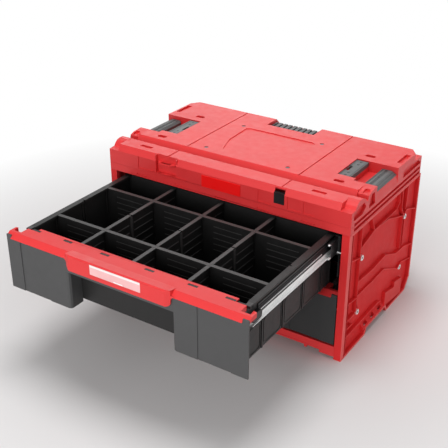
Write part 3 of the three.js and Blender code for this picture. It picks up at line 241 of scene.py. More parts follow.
def top_highlighted(name, colour, top, roughness, grain):
    """Moulded plastic, painted paler on the faces that look up, as a highlight from above."""
    material, tree, shader = new_material(name)
    geometry = tree.nodes.new("ShaderNodeNewGeometry")
    parts = tree.nodes.new("ShaderNodeSeparateXYZ")
    tree.links.new(geometry.outputs["Normal"], parts.inputs["Vector"])
    upward = ranged(tree, parts.outputs["Z"], 0.0, 1.0, UPWARD_SPAN)
    colours = blended(tree, upward, colour, top)
    dress_plastic(tree, shader, colours, LOW_GLOSS, dullness_around(roughness), grain)
    return material


def red_with_rib_highlights():
    """The red of the side panels, with a painted highlight on the outer edges of their thin ribs.
    """
    material, tree, shader = new_material("side red with painted rib highlights")
    field = toned(tree, noise(tree, *DRIFT_NOISE), SIDE_RED, *SIDE_TONES)
    place = tree.nodes.new("ShaderNodeTexCoord")
    parts = tree.nodes.new("ShaderNodeSeparateXYZ")
    distance = tree.nodes.new("ShaderNodeMath")
    distance.operation = "ABSOLUTE"
    tree.links.new(place.outputs["Object"], parts.inputs["Vector"])
    tree.links.new(parts.outputs["X"], distance.inputs[0])
    # Painted highlight: the outermost sliver of the panels, the tops of their ribs, turns paler
    edge = ranged(tree, distance.outputs["Value"], 0.0, 1.0, RIB_HIGHLIGHT_SPAN)
    colours = blended(tree, edge, field, RIB_HIGHLIGHT_RED)
    dress_plastic(tree, shader, colours, SIDE_GLOSS, SIDE_DULLNESS, SIDE_GRAIN)
    return material


def metal(name, colour, roughness, metallic):
    """Zinc-plated sheet steel, with fine lines along Y, as the rails run."""
    material, tree, shader = new_material(name)
    shader.inputs["Metallic"].default_value = metallic
    lines = noise(tree, *LINE_NOISE, LINE_STRETCH)
    tree.links.new(toned(tree, lines, colour, *LINE_TONES), shader.inputs["Base Color"])
    dullness = ranged(tree, lines, roughness - LINE_SMOOTHER, roughness + LINE_ROUGHER)
    tree.links.new(dullness, shader.inputs["Roughness"])
    bumped(tree, shader, lines, LINE_GRAIN, LINE_DEPTH)
    return material


def frosted(name, colour):
    """The clear window over the label, milky from the red behind it."""
    material, tree, shader = new_material(name)
    colours = toned(tree, noise(tree, *WINDOW_NOISE), colour, *WINDOW_TONES)
    tree.links.new(colours, shader.inputs["Base Color"])
    dullness = ranged(tree, noise(tree, *HAZE_NOISE), *WINDOW_DULLNESS)
    tree.links.new(dullness, shader.inputs["Roughness"])
    shader.inputs["Coat Weight"].default_value = WINDOW_COAT
    return material


MATERIALS = {
    "red_body": moulded("red plastic", RED, roughness=0.44),
    "bright_red": moulded("label red", LABEL_RED, roughness=0.34, grain=0.05),
    "grey_trim": moulded("grey plastic", GREY, roughness=0.5, grain=0.2),
    "dark_tray": moulded("dark plastic", DARK, roughness=0.42, grain=0.12, gloss=LOW_GLOSS),
    "black_trim": moulded("black plastic", BLACK, roughness=0.38, grain=0.08),
    "window": frosted("clear window", WINDOW),
    "bright_steel": metal("bright steel", STEEL, roughness=0.38, metallic=0.45),
    "dark_steel": metal("dark steel", DARK_STEEL, roughness=0.36, metallic=0.75),
}

# Looks of their own, for the nodes and pieces that aren't plainly in their slot's material
ADAPTER_GREY = moulded("adapter grey", PALE_GREY, roughness=0.5, grain=0.2, mottle=0.2)
# The lower drawer's front: the grey darkened as painted shade, for the shadow under the upper
# drawer
LOWER_FRONT_PAINTED_SHADE = moulded("grey plastic with painted shade", GREY_PAINTED_SHADE, roughness=0.5, grain=0.2, gloss=LOW_GLOSS)
# Ribs on the dividers: the same dark plastic painted paler, as a highlight
RIB_PAINTED_HIGHLIGHT = moulded("rib plastic with painted highlight", HIGHLIT_DARK, roughness=0.4, grain=0.1)
# Dividers, painted paler on the faces that look up, as a highlight from above
DIVIDER_HIGHLIT_TOPS = top_highlighted("divider plastic with painted top highlight", DIVIDER_WALL, TOP_HIGHLIGHT_DARK, roughness=0.42, grain=0.12)
LABEL_WHITE = moulded("label paper", PAPER, roughness=0.5, grain=0.05)
RED_WITH_RIB_HIGHLIGHTS = red_with_rib_highlights()


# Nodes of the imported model, whose edges are rounded by a radius for each slot

EDGE_RADIUS = {
    "red_body": 0.0009,
    "bright_red": 0.0002,
    "grey_trim": 0.0008,
    "dark_tray": 0.0005,
    "black_trim": 0.0004,
    "window": 0.0002,
    "bright_steel": 0.00025,
    "dark_steel": 0.00025,
}
EDGE_ANGLE = 28.0
EDGE_SEGMENTS = 2
FLAT_ANGLE = 1.0


def round_edges(piece, radius):
    edges = piece.modifiers.new("edges", "BEVEL")
    edges.width = radius
    edges.segments = EDGE_SEGMENTS
    edges.limit_method = "ANGLE"
    edges.angle_limit = math.radians(EDGE_ANGLE)
    edges.harden_normals = True


def soften(piece, radius):
    """Joins the flat facets and rounds the edges between them."""
    flat = piece.modifiers.new("flat facets", "DECIMATE")
    flat.decimate_type = "DISSOLVE"
    flat.angle_limit = math.radians(FLAT_ANGLE)
    round_edges(piece, radius)


def node_looks():
    """The nodes with a look of their own, each with its material."""
    # The lower drawer's front takes the grey with painted shade
    looks = {"lower_front": LOWER_FRONT_PAINTED_SHADE}
    for side in SIDES:
        # Side panels take the red with painted highlights on their rib edges
        looks[f"{side}_side_panel"] = RED_WITH_RIB_HIGHLIGHTS
        looks[f"{side}_inner_adapter"] = ADAPTER_GREY
        looks[f"{side}_outer_adapter"] = ADAPTER_GREY
    # Dividers take the plastic with a painted highlight on its tops
    for level in LEVELS:
        for name in LONG_DIVIDERS:
            looks[f"{level}_{name}_long_divider"] = DIVIDER_HIGHLIT_TOPS
        for name in CROSS_DIVIDERS:
            looks[f"{level}_{name}_cross_divider"] = DIVIDER_HIGHLIT_TOPS
    return looks


def dress_nodes():
    slots = {row["node"]: row["material_slot"] for row in frame["record"]["subparts"]}
    looks = node_looks()
    for name, piece in frame["nodes"].items():
        slot = slots[name]
        piece.data.materials.clear()
        piece.data.materials.append(looks.get(name, MATERIALS[slot]))
        soften(piece, EDGE_RADIUS[slot])


# Fine forms, joined in one mesh for each piece

CORNER_STEPS = 4
QUARTER_TURN = 90.0
ROD_SIDES = 20
HEXAGON_SIDES = 6
ROD_END_SHARE = 0.12
ROD_END_SIZE = 0.82

# Sections of a rod, each with its share of the length and of the radius
ROD_SECTIONS = (
    (0.0, ROD_END_SIZE),
    (ROD_END_SHARE, 1.0),
    (1.0 - ROD_END_SHARE, 1.0),
    (1.0, ROD_END_SIZE),
)

# Faces of a bar, by its corners in the order that add_bar makes them
BAR_FACES = ((0, 1, 3, 2), (4, 6, 7, 5), (0, 4, 5, 1), (2, 3, 7, 6), (0, 2, 6, 4), (1, 5, 7, 3))


def middle(span):
    return (span[0] + span[1]) / 2.0


def around(centre, width):
    return centre - width / 2.0, centre + width / 2.0


def across(way, near, far):
    """The span along X between two distances from the middle plane, on the side of a way."""
    return sorted((way * near, way * far))


def placed(point, axis, level):
    """A flat point at a level along an axis."""
    place = list(point)
    place.insert(axis, level)
    return place


def rounded_outline(low, high, radius):
    """Points of a rectangle with round corners, counted in two directions."""
    centres = (
        (high[0] - radius, high[1] - radius),
        (low[0] + radius, high[1] - radius),
        (low[0] + radius, low[1] + radius),
        (high[0] - radius, low[1] + radius),
    )
    points = []
    for corner, (u, v) in enumerate(centres):
        for i in range(CORNER_STEPS + 1):
            turn = math.radians(QUARTER_TURN * (corner + i / CORNER_STEPS))
            points.append((u + radius * math.cos(turn), v + radius * math.sin(turn)))
    return points


def add_loop(form, outline, axis, level):
    """Vertices at the points of a flat outline, at a level along an axis."""
    return [form.verts.new(placed(point, axis, level)) for point in outline]


def add_walls(form, loops):
    """Faces between each loop of points and the next."""
    for loop, following in zip(loops, loops[1:]):
        for i in range(len(loop)):
            j = (i + 1) % len(loop)
            form.faces.new((loop[i], loop[j], following[j], following[i]))


def add_closed(form, loops):
    """Walls between the loops of points, with a face over each end."""
    add_walls(form, loops)
    form.faces.new(loops[0])
    form.faces.new(loops[-1])


def add_bar(form, x_span, y_span, z_span):
    corners = [form.verts.new((x, y, z)) for x in x_span for y in y_span for z in z_span]
    for face in BAR_FACES:
        form.faces.new([corners[i] for i in face])


def add_plate(form, outline, axis, near, far):
    """A flat outline drawn out between two levels of an axis."""
    add_closed(form, [add_loop(form, outline, axis, level) for level in (near, far)])


def add_ring(form, outer, inner, axis, near, far):
    """A closed frame between two outlines with as many points each."""
    sections = ((outer, near), (outer, far), (inner, far), (inner, near))
    loops = [add_loop(form, outline, axis, level) for outline, level in sections]
    add_walls(form, loops + loops[:1])


def add_rod(form, centre, axis, radius, length, sides=ROD_SIDES):
    """A round bar whose two ends are drawn in a little, from a centre along an axis."""
    loops = []
    for share, size in ROD_SECTIONS:
        loop = []
        for i in range(sides):
            turn = 2.0 * math.pi * i / sides
            spot = (math.cos(turn) * radius * size, math.sin(turn) * radius * size)
            offset = placed(spot, axis, share * length)
            loop.append(form.verts.new([c + o for c, o in zip(centre, offset)]))
        loops.append(loop)
    add_closed(form, loops)


def add_piece(name, form, body, slot, radius, replaced=(), look=None):
    bmesh.ops.recalc_face_normals(form, faces=form.faces)
    mesh = bpy.data.meshes.new(name)
    form.to_mesh(mesh)
    form.free()
    piece = bpy.data.objects.new(name, mesh)
    bpy.context.scene.collection.objects.link(piece)
    mesh.materials.append(look or MATERIALS[slot])
    round_edges(piece, radius)
    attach(piece, body)
    if replaced:
        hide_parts(*replaced)


# Drawers, whose fine forms are sunk a little into the solids that carry them

SUNK = 0.0003
PLATE = 0.003
BIN_WALL = 0.0025
BIN_FLOOR = 0.003
BIN_RIM = 0.0055
BIN_REAR_RIM = 0.0018

# Ribs on the cross dividers
RIB_HEIGHT = 0.0014
RIB_PROUD = 0.0008
RIB_ROUND = RIB_HEIGHT / 5.0
CROSS_RIB_DROP = 0.016
CROSS_RIB_PITCH = 0.013
CROSS_RIB_COUNT = 5
CROSS_RIB_SHARE = 0.56

# Ribs on the long dividers
LONG_RIB_HEIGHT = 0.0018
LONG_RIB_PROUD = 0.0012
LONG_RIB_ROUND = LONG_RIB_HEIGHT / 5.0
LONG_RIB_DROP = 0.020
LONG_RIB_PITCH = 0.0175
LONG_RIB_COUNT = 4
LONG_RIB_INSET = 0.007
PILASTER_WIDTH = 0.007
PILASTER_PROUD = 0.0022
PILASTER_DROP = 0.0045

# Channels inside the bin, and frames outside it
CHANNEL_GAP = 0.0075
CHANNEL_ROUND = RIB_HEIGHT / 4.0
SIDE_RIB_SHARES = (0.0, 0.16, 0.396, 0.633, 0.869, 1.0)
SIDE_RIB_WIDTH = 0.004
SIDE_RIB_TOP = 0.059
FRAME_INSET = 0.0035
FRAME_WIDTH = 0.0016
FRAME_PROUD = 0.0009
FRAME_CORNER = 0.009
FRAME_ROUND = FRAME_WIDTH / 5.0

# Label trim
TRIM_PROUD = 0.0003
TRIM_INSET = 0.0005
TRIM_ROUND = TRIM_PROUD / 3.0
TRIM_STRIP_WIDTH = 0.0042
TAB_PLACE = 0.008
TAB_WIDTH = 0.020
TAB_HEIGHT = 0.003


def plate_walls(node, axis):
    """The two faces of a divider's plate, each with the way it looks."""
    low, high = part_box(node)
    near, far = around(middle((low[axis], high[axis])), PLATE)
    return ((near, -1.0), (far, 1.0))


def proud_span(wall, way, proud):
    return sorted((wall - way * SUNK, wall + way * proud))


def drawer_grid(level):
    """The spans between a drawer's dividers and the bin's walls, along X and along Y."""
    low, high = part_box(f"{level}_bin")
    columns = [low[X] + BIN_RIM + BIN_WALL]
    for name in LONG_DIVIDERS:
        columns += [wall for wall, way in plate_walls(f"{level}_{name}_long_divider", X)]
    columns.append(high[X] - BIN_RIM - BIN_WALL)
    divider_low, divider_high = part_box(f"{level}_middle_long_divider")
    rows = [divider_low[Y]]
    for name in CROSS_DIVIDERS:
        rows += [wall for wall, way in plate_walls(f"{level}_{name}_cross_divider", Y)]
    rows.append(divider_high[Y])
    return list(zip(columns[::2], columns[1::2])), list(zip(rows[::2], rows[1::2]))


def add_drawer_piece(level, name, form, slot, radius, look=None):
    add_piece(f"{level}_{name}", form, f"{level}_drawer", slot, radius, look=look)


def add_cross_ribs(level, columns):
    """Thin ribs on both faces of the cross dividers, in the middle of each column."""
    form = bmesh.new()
    for name in CROSS_DIVIDERS:
        node = f"{level}_{name}_cross_divider"
        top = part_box(node)[1][Z]
        for wall, way in plate_walls(node, Y):
            y_span = proud_span(wall, way, RIB_PROUD)
            for column in columns:
                x_span = around(middle(column), (column[1] - column[0]) * CROSS_RIB_SHARE)
                for i in range(CROSS_RIB_COUNT):
                    z_span = around(top - CROSS_RIB_DROP - i * CROSS_RIB_PITCH, RIB_HEIGHT)
                    add_bar(form, x_span, y_span, z_span)
    # The ribs take the paler copy of the dark plastic, a painted highlight
    add_drawer_piece(level, "cross_ribs", form, "dark_tray", RIB_ROUND, RIB_PAINTED_HIGHLIGHT)


def add_long_ribs(level, rows):
    """Ridges on the long dividers, with an upright rib at the notch in the middle row."""
    form = bmesh.new()
    notch = middle(rows[1])
    stretches = (rows[0], (rows[1][0], notch), (notch, rows[1][1]), rows[2])
    for name in LONG_DIVIDERS:
        node = f"{level}_{name}_long_divider"
        low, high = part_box(node)
        for wall, way in plate_walls(node, X):
            x_span = proud_span(wall, way, LONG_RIB_PROUD)
            for start, end in stretches:
                y_span = (start + LONG_RIB_INSET, end - LONG_RIB_INSET)
                for i in range(LONG_RIB_COUNT):
                    drop = LONG_RIB_DROP + i * LONG_RIB_PITCH
                    add_bar(form, x_span, y_span, around(high[Z] - drop, LONG_RIB_HEIGHT))
            x_span = proud_span(wall, way, PILASTER_PROUD)
            z_span = (low[Z] + SUNK, high[Z] - PILASTER_DROP)
            add_bar(form, x_span, around(notch, PILASTER_WIDTH), z_span)
    # The ribs take the paler copy of the dark plastic, a painted highlight
    add_drawer_piece(level, "long_ribs", form, "dark_tray", LONG_RIB_ROUND, RIB_PAINTED_HIGHLIGHT)


def add_wall_channels(level, rows):
    """Upright channels inside the bin, that hold the cross dividers' ends and one more divider."""
    form = bmesh.new()
    low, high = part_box(f"{level}_bin")
    z_span = (low[Z] + BIN_FLOOR, high[Z] - PILASTER_DROP)
    lines = (middle((rows[0][1], rows[1][0])), middle(rows[1]), middle((rows[1][1], rows[2][0])))
    for way, edge in ((1.0, low[X]), (-1.0, high[X])):
        wall = edge + way * (BIN_RIM + BIN_WALL)
        x_span = proud_span(wall, way, PILASTER_PROUD)
        for line in lines:
            for centre in around(line, CHANNEL_GAP):
                add_bar(form, x_span, around(centre, PLATE), z_span)
    add_drawer_piece(level, "wall_channels", form, "dark_tray", CHANNEL_ROUND)


def add_side_frames(level):
    """A thin raised frame with round corners on each field between the bin's outer ribs."""
    form = bmesh.new()
    low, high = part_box(f"{level}_bin")
    length = high[Y] - BIN_REAR_RIM - low[Y]
    ends = [low[Y] + share * length for share in SIDE_RIB_SHARES]
    foot = low[Z] + FRAME_INSET
    top = low[Z] + SIDE_RIB_TOP
    inset = SIDE_RIB_WIDTH / 2.0 + FRAME_INSET
    for way, edge in ((-1.0, low[X]), (1.0, high[X])):
        near, far = proud_span(edge - way * BIN_RIM, way, FRAME_PROUD)
        for start, end in zip(ends, ends[1:]):
            first = (start + inset, foot)
            last = (end - inset, top)
            outer = rounded_outline(first, last, FRAME_CORNER)
            first = [place + FRAME_WIDTH for place in first]
            last = [place - FRAME_WIDTH for place in last]
            inner = rounded_outline(first, last, FRAME_CORNER - FRAME_WIDTH)
            add_ring(form, outer, inner, X, near, far)
    add_drawer_piece(level, "side_frames", form, "dark_tray", FRAME_ROUND)


def add_label_trim(level):
    """The paler strip along the top of the label window, and the tab at its foot."""
    form = bmesh.new()
    low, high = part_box(f"{level}_label_window")
    x_span = (low[X] + TRIM_INSET, high[X] - TRIM_INSET)
    y_span = (low[Y] - TRIM_PROUD, low[Y] + TRIM_PROUD)
    top = high[Z] - TRIM_INSET
    add_bar(form, x_span, y_span, (top - TRIM_STRIP_WIDTH, top))
    z_span = (low[Z] + TRIM_INSET, low[Z] + TAB_HEIGHT)
    add_bar(form, around(TAB_PLACE, TAB_WIDTH), y_span, z_span)
    add_drawer_piece(level, "label_trim", form, "window", TRIM_ROUND, LABEL_WHITE)


def add_drawer_detail():
    for level in LEVELS:
        columns, rows = drawer_grid(level)
        add_cross_ribs(level, columns)
        add_long_ribs(level, rows)
        add_wall_channels(level, rows)
        add_side_frames(level)
        add_label_trim(level)


# Slides

SHEET = 0.0015
RAIL_ROUND = SHEET / 4.0

# Inner rail, counted from its foot and from its front end
STRIP_HEIGHT = 0.0094
STRIP_TIP_HEIGHT = 0.0040
STRIP_TIP_LENGTH = 0.026
STRIP_TIP_RUN = 0.004
STRIP_ROUND = SHEET / 5.0
BEAD_RISE = 0.0158
BEAD_THICKNESS = 0.0013
BEAD_START = 0.020
BEAD_END = 0.259
CARRIER_FOOT = 0.0098
CARRIER_THICKNESS = 0.0018
CARRIER_RIDGES = (0.0202, 0.0246)
CARRIER_RIDGE = 0.0011
CARRIER_RIDGE_PROUD = 0.0012
END_BLOCK_LENGTH = 0.030
END_BLOCK_FOOT = 0.0055
END_BLOCK_TOP = 0.0225
END_BLOCK_REACH = 0.0078
END_BLOCK_CORNER = 0.006

# Middle rail, whose front stands back from the box of its node
MIDDLE_RAIL_RECESS = 0.037
RACE_THICKNESS = 0.0022
RACE_REACH = 0.0075
RACE_CORNER = RACE_THICKNESS * 0.45
RACE_END = 0.0022
RACE_END_LENGTH = 0.008
RAIL_END_INSET = 0.006
STOP_INSET = 0.010
STOP_RADIUS = 0.0028

# Pins at the front of the slides, and black hexagons as painted shade in the bolts' sockets
PIN_RADIUS = 0.0016
PIN_HEAD_RADIUS = 0.0024
PIN_HEAD_SHARE = 0.3
PIN_SPAN = (0.2645, 0.2768)
PIN_LINE = -0.1712
PIN_DROP = 0.0095
PIN_ROUND = SHEET / 8.0
SOCKET_RADIUS = 0.0019
SOCKET_DEPTH = 0.001
SOCKET_PROUD = 0.0002
SOCKET_ROUND = SOCKET_PROUD / 2.0

# Ends of the bin's rim
RIM_END_INNER = 0.0110
RIM_END_HEIGHT = 0.0054
RIM_END_FRONT_GAP = 0.0006
RIM_END_ROUND = 0.0005
GRIP_STEP = 0.012


def rail_places(node):
    """The inner and outer distance from the middle plane, and the spans along Y and Z."""
    low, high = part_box(node)
    distances = sorted((abs(low[X]), abs(high[X])))
    return distances, (low[Y], high[Y]), (low[Z], high[Z])


def add_inner_strip(level, side, way):
    """The steel member of an inner rail: an upright strip, its lip and the bead above."""
    node = f"{level}_{side}_inner_rail"
    (inner, outer), (front, rear), (foot, top) = rail_places(node)
    steel = bmesh.new()
    shoulder = front + STRIP_TIP_LENGTH
    outline = (
        (front, foot),
        (rear, foot),
        (rear, foot + STRIP_HEIGHT),
        (shoulder, foot + STRIP_HEIGHT),
        (shoulder - STRIP_TIP_RUN, foot + STRIP_TIP_HEIGHT),
        (front, foot + STRIP_TIP_HEIGHT),
    )
    add_plate(steel, outline, X, *across(way, inner, inner + SHEET))
    x_span = across(way, inner + SHEET, outer)
    add_bar(steel, x_span, (front, rear), (foot, foot + SHEET))
    x_span = across(way, inner + SHEET, inner + SHEET + BEAD_THICKNESS)
    y_span = (front + BEAD_START, front + BEAD_END)
    z_span = (foot + BEAD_RISE, foot + BEAD_RISE + BEAD_THICKNESS)
    add_bar(steel, x_span, y_span, z_span)
    name = f"{level}_{side}_rail_strip"
    add_piece(name, steel, f"{level}_drawer", "bright_steel", STRIP_ROUND, (node,))


def add_inner_carrier(level, side, way):
    """The black moulding over an inner rail's strip, with its two ridges and its end block."""
    (inner, outer), (front, rear), (foot, top) = rail_places(f"{level}_{side}_inner_rail")
    carrier = bmesh.new()
    y_span = (front + STRIP_TIP_LENGTH, rear)
    proud = inner + CARRIER_THICKNESS
    add_bar(carrier, across(way, inner, proud), y_span, (foot + CARRIER_FOOT, top))
    for rise in CARRIER_RIDGES:
        x_span = across(way, proud - SUNK, proud + CARRIER_RIDGE_PROUD)
        z_span = (foot + rise, foot + rise + CARRIER_RIDGE)
        add_bar(carrier, x_span, y_span, z_span)
    first = (front, foot + END_BLOCK_FOOT)
    last = (front + END_BLOCK_LENGTH, foot + END_BLOCK_TOP)
    block = rounded_outline(first, last, END_BLOCK_CORNER)
    add_plate(carrier, block, X, *across(way, inner, inner + END_BLOCK_REACH))
    name = f"{level}_{side}_rail_carrier"
    add_piece(name, carrier, f"{level}_drawer", "black_trim", RAIL_ROUND)


def add_middle_web(level, side, way):
    """The flat of a middle rail, with the stop near its front end."""
    node = f"{level}_{side}_middle_rail"
    (inner, outer), (front, rear), (foot, top) = rail_places(node)
    web = bmesh.new()
    start = front + MIDDLE_RAIL_RECESS + RAIL_END_INSET
    add_bar(web, across(way, outer - SHEET, outer), (start, rear), (foot + SHEET, top - SHEET))
    centre = (way * (outer - 2.0 * SHEET), start + STOP_INSET, middle((foot, top)))
    add_rod(web, centre, X, STOP_RADIUS, way * SHEET)
    name = f"{level}_{side}_rail_web"
    add_piece(name, web, f"{level}_{side}_middle", "dark_steel", RAIL_ROUND, (node,))


def add_middle_races(level, side, way):
    """The two races along the edges of a middle rail."""
    (inner, outer), (front, rear), (foot, top) = rail_places(f"{level}_{side}_middle_rail")
    races = bmesh.new()
    start = front + MIDDLE_RAIL_RECESS
    for low, high in ((foot, foot + RACE_THICKNESS), (top - RACE_THICKNESS, top)):
        race = rounded_outline((start, low), (rear, high), RACE_CORNER)
        add_plate(races, race, X, *across(way, outer - RACE_REACH, outer))
    name = f"{level}_{side}_rail_races"
    add_piece(name, races, f"{level}_{side}_middle", "dark_steel", RAIL_ROUND)


def add_middle_ends(level, side, way):
    """The round ends of a middle rail's races."""
    (inner, outer), (front, rear), (foot, top) = rail_places(f"{level}_{side}_middle_rail")
    ends = bmesh.new()
    start = front + MIDDLE_RAIL_RECESS - RACE_END
    for z in (foot + RACE_END, top - RACE_END):
        centre = (way * (outer - RACE_END), start, z)
        add_rod(ends, centre, Y, RACE_END, RACE_END_LENGTH)
    name = f"{level}_{side}_rail_ends"
    add_piece(name, ends, f"{level}_{side}_middle", "bright_steel", PIN_ROUND)


def add_rim_ends(level):
    """The bin's rim runs on to the grip, over the shelf."""
    form = bmesh.new()
    low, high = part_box(f"{level}_bin")
    grip_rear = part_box(f"{level}_grip")[1][Y]
    y_span = (grip_rear - GRIP_STEP + RIM_END_FRONT_GAP, grip_rear + RIM_END_FRONT_GAP)
    for way in SIDES.values():
        x_span = across(way, high[X] - RIM_END_INNER, high[X])
        add_bar(form, x_span, y_span, (high[Z] - RIM_END_HEIGHT, high[Z]))
    # The rim's ends take the divider plastic, with a painted highlight on their tops
    add_drawer_piece(level, "rim_ends", form, "dark_tray", RIM_END_ROUND, DIVIDER_HIGHLIT_TOPS)


def add_slide_pins():
    """A small pin at the front of each slide, set in the inner side of the cabinet's post."""
    form = bmesh.new()
    length = PIN_SPAN[1] - PIN_SPAN[0]
    head_length = length * PIN_HEAD_SHARE
    for level in LEVELS:
        for side, way in SIDES.items():
            low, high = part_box(f"{level}_{side}_outer_rail")
            z = middle((low[Z], high[Z])) - PIN_DROP
            add_rod(form, (way * PIN_SPAN[0], PIN_LINE, z), X, PIN_RADIUS, way * length)
            head = (way * (PIN_SPAN[1] - head_length), PIN_LINE, z)
            add_rod(form, head, X, PIN_HEAD_RADIUS, way * head_length)
    add_piece("slide_pins", form, "cabinet", "bright_steel", PIN_ROUND)


def add_bolt_sockets():
    """A black hexagon in the middle of each bolt's head, painted shade for its socket."""
    form = bmesh.new()
    depth = SOCKET_DEPTH + SOCKET_PROUD
    for level in LEVELS:
        for side, way in SIDES.items():
            for end in BOLTS:
                low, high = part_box(f"{level}_{side}_{end}_bolt")
                x = way * (max(abs(low[X]), abs(high[X])) - SOCKET_DEPTH)
                centre = (x, middle((low[Y], high[Y])), middle((low[Z], high[Z])))
                add_rod(form, centre, X, SOCKET_RADIUS, way * depth, HEXAGON_SIDES)
    add_piece("bolt_socket_shades", form, "cabinet", "black_trim", SOCKET_ROUND)


def add_slides():
    for level in LEVELS:
        for side, way in SIDES.items():
            add_inner_strip(level, side, way)
            add_inner_carrier(level, side, way)
            add_middle_web(level, side, way)
            add_middle_races(level, side, way)
            add_middle_ends(level, side, way)
        add_rim_ends(level)
    add_slide_pins()
    add_bolt_sockets()


# Adapters, whose holes and groove are painted shade in black, and whose tops have ridges along
# them. Holes, ridges and the groove are given as shares of an adapter's length or width.

INNER_HOLES = (0.081, 0.236, 0.749, 0.911)
OUTER_HOLES = (0.201, 0.573, 0.923)
OUTER_BEVEL = 0.004
OUTER_SLOPE_RUN = 0.011
OUTER_SLOPE_DROP = 0.0065
# Black discs in the adapters' holes, as painted shade
HOLE_SHADE_RADIUS = 0.0027
HOLE_SHADE_DEPTH = 0.006
HOLE_SHADE_PROUD = 0.00025
HOLE_SHADE_ROUND = SUNK / 4.0
RIDGE_WIDTH = 0.0011
RIDGE_PROUD = 0.0006
RIDGE_INSET = 0.002
RIDGE_ROUND = RIDGE_PROUD / 3.0
INNER_RIDGES = (0.10, 0.88)
OUTER_RIDGES = (0.06, 0.40, 0.52, 0.64)
SLOPE_RIDGES = (0.35, 0.75)
GROOVE_SPAN = (0.14, 0.20)
GROOVE_PROUD = SUNK / 2.0


def add_ridge(form, low, high, x, top):
    y_span = (low[Y] + RIDGE_INSET, high[Y] - RIDGE_INSET)
    add_bar(form, around(x, RIDGE_WIDTH), y_span, (top - SUNK, top + RIDGE_PROUD))


def add_hole_shades(form, low, high, x, shares):
    for share in shares:
        y = low[Y] + share * (high[Y] - low[Y])
        # Black discs in the holes, as painted shade
        add_rod(form, (x, y, high[Z] + HOLE_SHADE_PROUD - HOLE_SHADE_DEPTH), Z, HOLE_SHADE_RADIUS, HOLE_SHADE_DEPTH)


def add_inner_adapter_forms(side, way, ridges, dark):
    low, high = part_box(f"{side}_inner_adapter")
    inner = min(abs(low[X]), abs(high[X]))
    width = high[X] - low[X]
    for share in INNER_RIDGES:
        add_ridge(ridges, low, high, way * (inner + share * width), high[Z])
    add_hole_shades(dark, low, high, middle((low[X], high[X])), INNER_HOLES)


def add_outer_adapter_forms(side, way, ridges, dark):
    """Ridges on the flat top and the slope outside it, with painted shade in the groove and holes.
    """
    low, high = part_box(f"{side}_outer_adapter")
    inner = min(abs(low[X]), abs(high[X])) + OUTER_BEVEL
    outer = max(abs(low[X]), abs(high[X])) - OUTER_SLOPE_RUN
    width = outer - inner
    for share in OUTER_RIDGES:
        add_ridge(ridges, low, high, way * (inner + share * width), high[Z])
    for share in SLOPE_RIDGES:
        x = way * (outer + share * OUTER_SLOPE_RUN)
        add_ridge(ridges, low, high, x, high[Z] - share * OUTER_SLOPE_DROP)
    x_span = across(way, *[inner + share * width for share in GROOVE_SPAN])
    y_span = (low[Y] + RIDGE_INSET, high[Y] - RIDGE_INSET)
    # A black strip, the painted shade of the groove
    add_bar(dark, x_span, y_span, (high[Z] - SUNK, high[Z] + GROOVE_PROUD))
    add_hole_shades(dark, low, high, way * middle((inner, outer)), OUTER_HOLES)


def add_adapters():
    for side, way in SIDES.items():
        ridges = bmesh.new()
        dark = bmesh.new()
        add_inner_adapter_forms(side, way, ridges, dark)
        add_outer_adapter_forms(side, way, ridges, dark)
        add_piece(f"{side}_adapter_ridges", ridges, "cabinet", "grey_trim", RIDGE_ROUND)
        add_piece(f"{side}_adapter_hole_shades", dark, "cabinet", "black_trim", HOLE_SHADE_ROUND)


# Camera, light and floor

def add_camera():
    data = bpy.data.cameras.new("camera")
    data.sensor_width = CAMERA_SENSOR
    data.lens = CAMERA_LENS
    camera = bpy.data.objects.new("camera", data)
    bpy.context.scene.collection.objects.link(camera)
    azimuth = math.radians(CAMERA_AZIMUTH)
    elevation = math.radians(CAMERA_ELEVATION)
    level = math.cos(elevation)
    back = Vector((math.sin(azimuth) * level, -math.cos(azimuth) * level, math.sin(elevation)))
    right = Vector((math.cos(azimuth), math.sin(azimuth), 0.0))
    up = back.cross(right)
    turn = Matrix((right, up, back)).transposed()
    roll = Matrix.Rotation(math.radians(CAMERA_ROLL), 3, "Z")
    camera.matrix_world = Matrix.Translation(CAMERA_PLACE) @ (turn @ roll).to_4x4()
    bpy.context.scene.camera = camera


def add_lamp(name, place, aim, size, power):
    data = bpy.data.lights.new(name, "AREA")
    data.shape = "DISK"
    data.size = size
    data.energy = power
    lamp = bpy.data.objects.new(name, data)
    lamp.location = place
    lamp.visible_camera = False
    lamp.rotation_mode = "QUATERNION"
    lamp.rotation_quaternion = (Vector(aim) - Vector(place)).to_track_quat("-Z", "Y")
    bpy.context.scene.collection.objects.link(lamp)


def background_rays(tree):
    """1 for the rays that show the background: the camera's, and those off metal and in glass."""
    path = tree.nodes.new("ShaderNodeLightPath")
    share = path.outputs["Is Camera Ray"]
    for kind in ("Is Glossy Ray", "Is Transmission Ray"):
        either = tree.nodes.new("ShaderNodeMath")
        either.operation = "MAXIMUM"
        tree.links.new(share, either.inputs[0])
        tree.links.new(path.outputs[kind], either.inputs[1])
        share = either.outputs["Value"]
    return share


def mixed_shaders(tree, share, first, second):
    mix = tree.nodes.new("ShaderNodeMixShader")
    tree.links.new(share, mix.inputs["Fac"])
    tree.links.new(first, mix.inputs[1])
    tree.links.new(second, mix.inputs[2])
    return mix.outputs["Shader"]


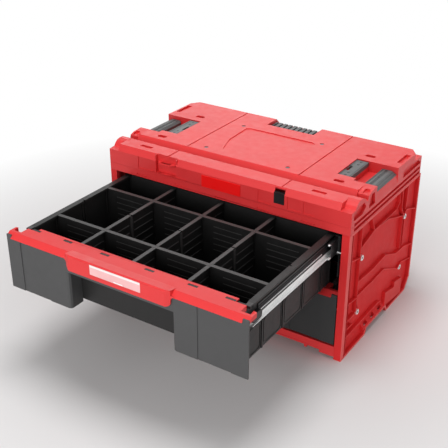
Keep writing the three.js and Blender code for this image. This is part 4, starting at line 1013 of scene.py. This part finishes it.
def add_world():
    """A dim even light, seen as plain white."""
    world = bpy.data.worlds.new("studio")
    world.use_nodes = True
    bpy.context.scene.world = world
    tree = world.node_tree
    dim = tree.nodes["Background"]
    dim.inputs["Color"].default_value = WHITE
    dim.inputs["Strength"].default_value = WORLD_STRENGTH
    seen = tree.nodes.new("ShaderNodeBackground")
    seen.inputs["Color"].default_value = WHITE
    seen.inputs["Strength"].default_value = WHITE_STRENGTH
    backgrounds = (dim.outputs["Background"], seen.outputs["Background"])
    surface = mixed_shaders(tree, background_rays(tree), *backgrounds)
    tree.links.new(surface, tree.nodes["World Output"].inputs["Surface"])


def add_light():
    for lamp in LAMPS:
        add_lamp(*lamp)
    add_world()


def distance_from_middle(tree):
    place = tree.nodes.new("ShaderNodeTexCoord")
    distance = tree.nodes.new("ShaderNodeVectorMath")
    distance.operation = "DISTANCE"
    distance.inputs[1].default_value = WHITE_MIDDLE
    tree.links.new(place.outputs["Object"], distance.inputs[0])
    return distance.outputs["Value"]


def pale_floor():
    """A plain floor that keeps the shadow near the box, and is seen as white away from it."""
    material, tree, shader = new_material("floor")
    colours = toned(tree, noise(tree, *FLOOR_NOISE), FLOOR, *FLOOR_TONES)
    tree.links.new(colours, shader.inputs["Base Color"])
    shader.inputs["Roughness"].default_value = FLOOR_ROUGHNESS
    shader.inputs["Specular IOR Level"].default_value = FLOOR_GLOSS
    far = ranged(tree, distance_from_middle(tree), 0.0, 1.0, WHITE_SPAN)
    both = tree.nodes.new("ShaderNodeMath")
    both.operation = "MULTIPLY"
    tree.links.new(far, both.inputs[0])
    tree.links.new(background_rays(tree), both.inputs[1])
    white = tree.nodes.new("ShaderNodeEmission")
    white.inputs["Color"].default_value = WHITE
    white.inputs["Strength"].default_value = WHITE_STRENGTH
    outputs = (shader.outputs["BSDF"], white.outputs["Emission"])
    surface = mixed_shaders(tree, both.outputs["Value"], *outputs)
    tree.links.new(surface, tree.nodes["Material Output"].inputs["Surface"])
    return material


def add_floor():
    mesh = bpy.data.meshes.new("floor")
    form = bmesh.new()
    bmesh.ops.create_grid(form, x_segments=1, y_segments=1, size=FLOOR_REACH)
    form.to_mesh(mesh)
    form.free()
    floor = bpy.data.objects.new("floor", mesh)
    bpy.context.scene.collection.objects.link(floor)
    mesh.materials.append(pale_floor())


dress_nodes()
add_drawer_detail()
add_slides()
add_adapters()
add_floor()
add_light()
add_camera()
bpy.context.scene.view_settings.view_transform = "Standard"
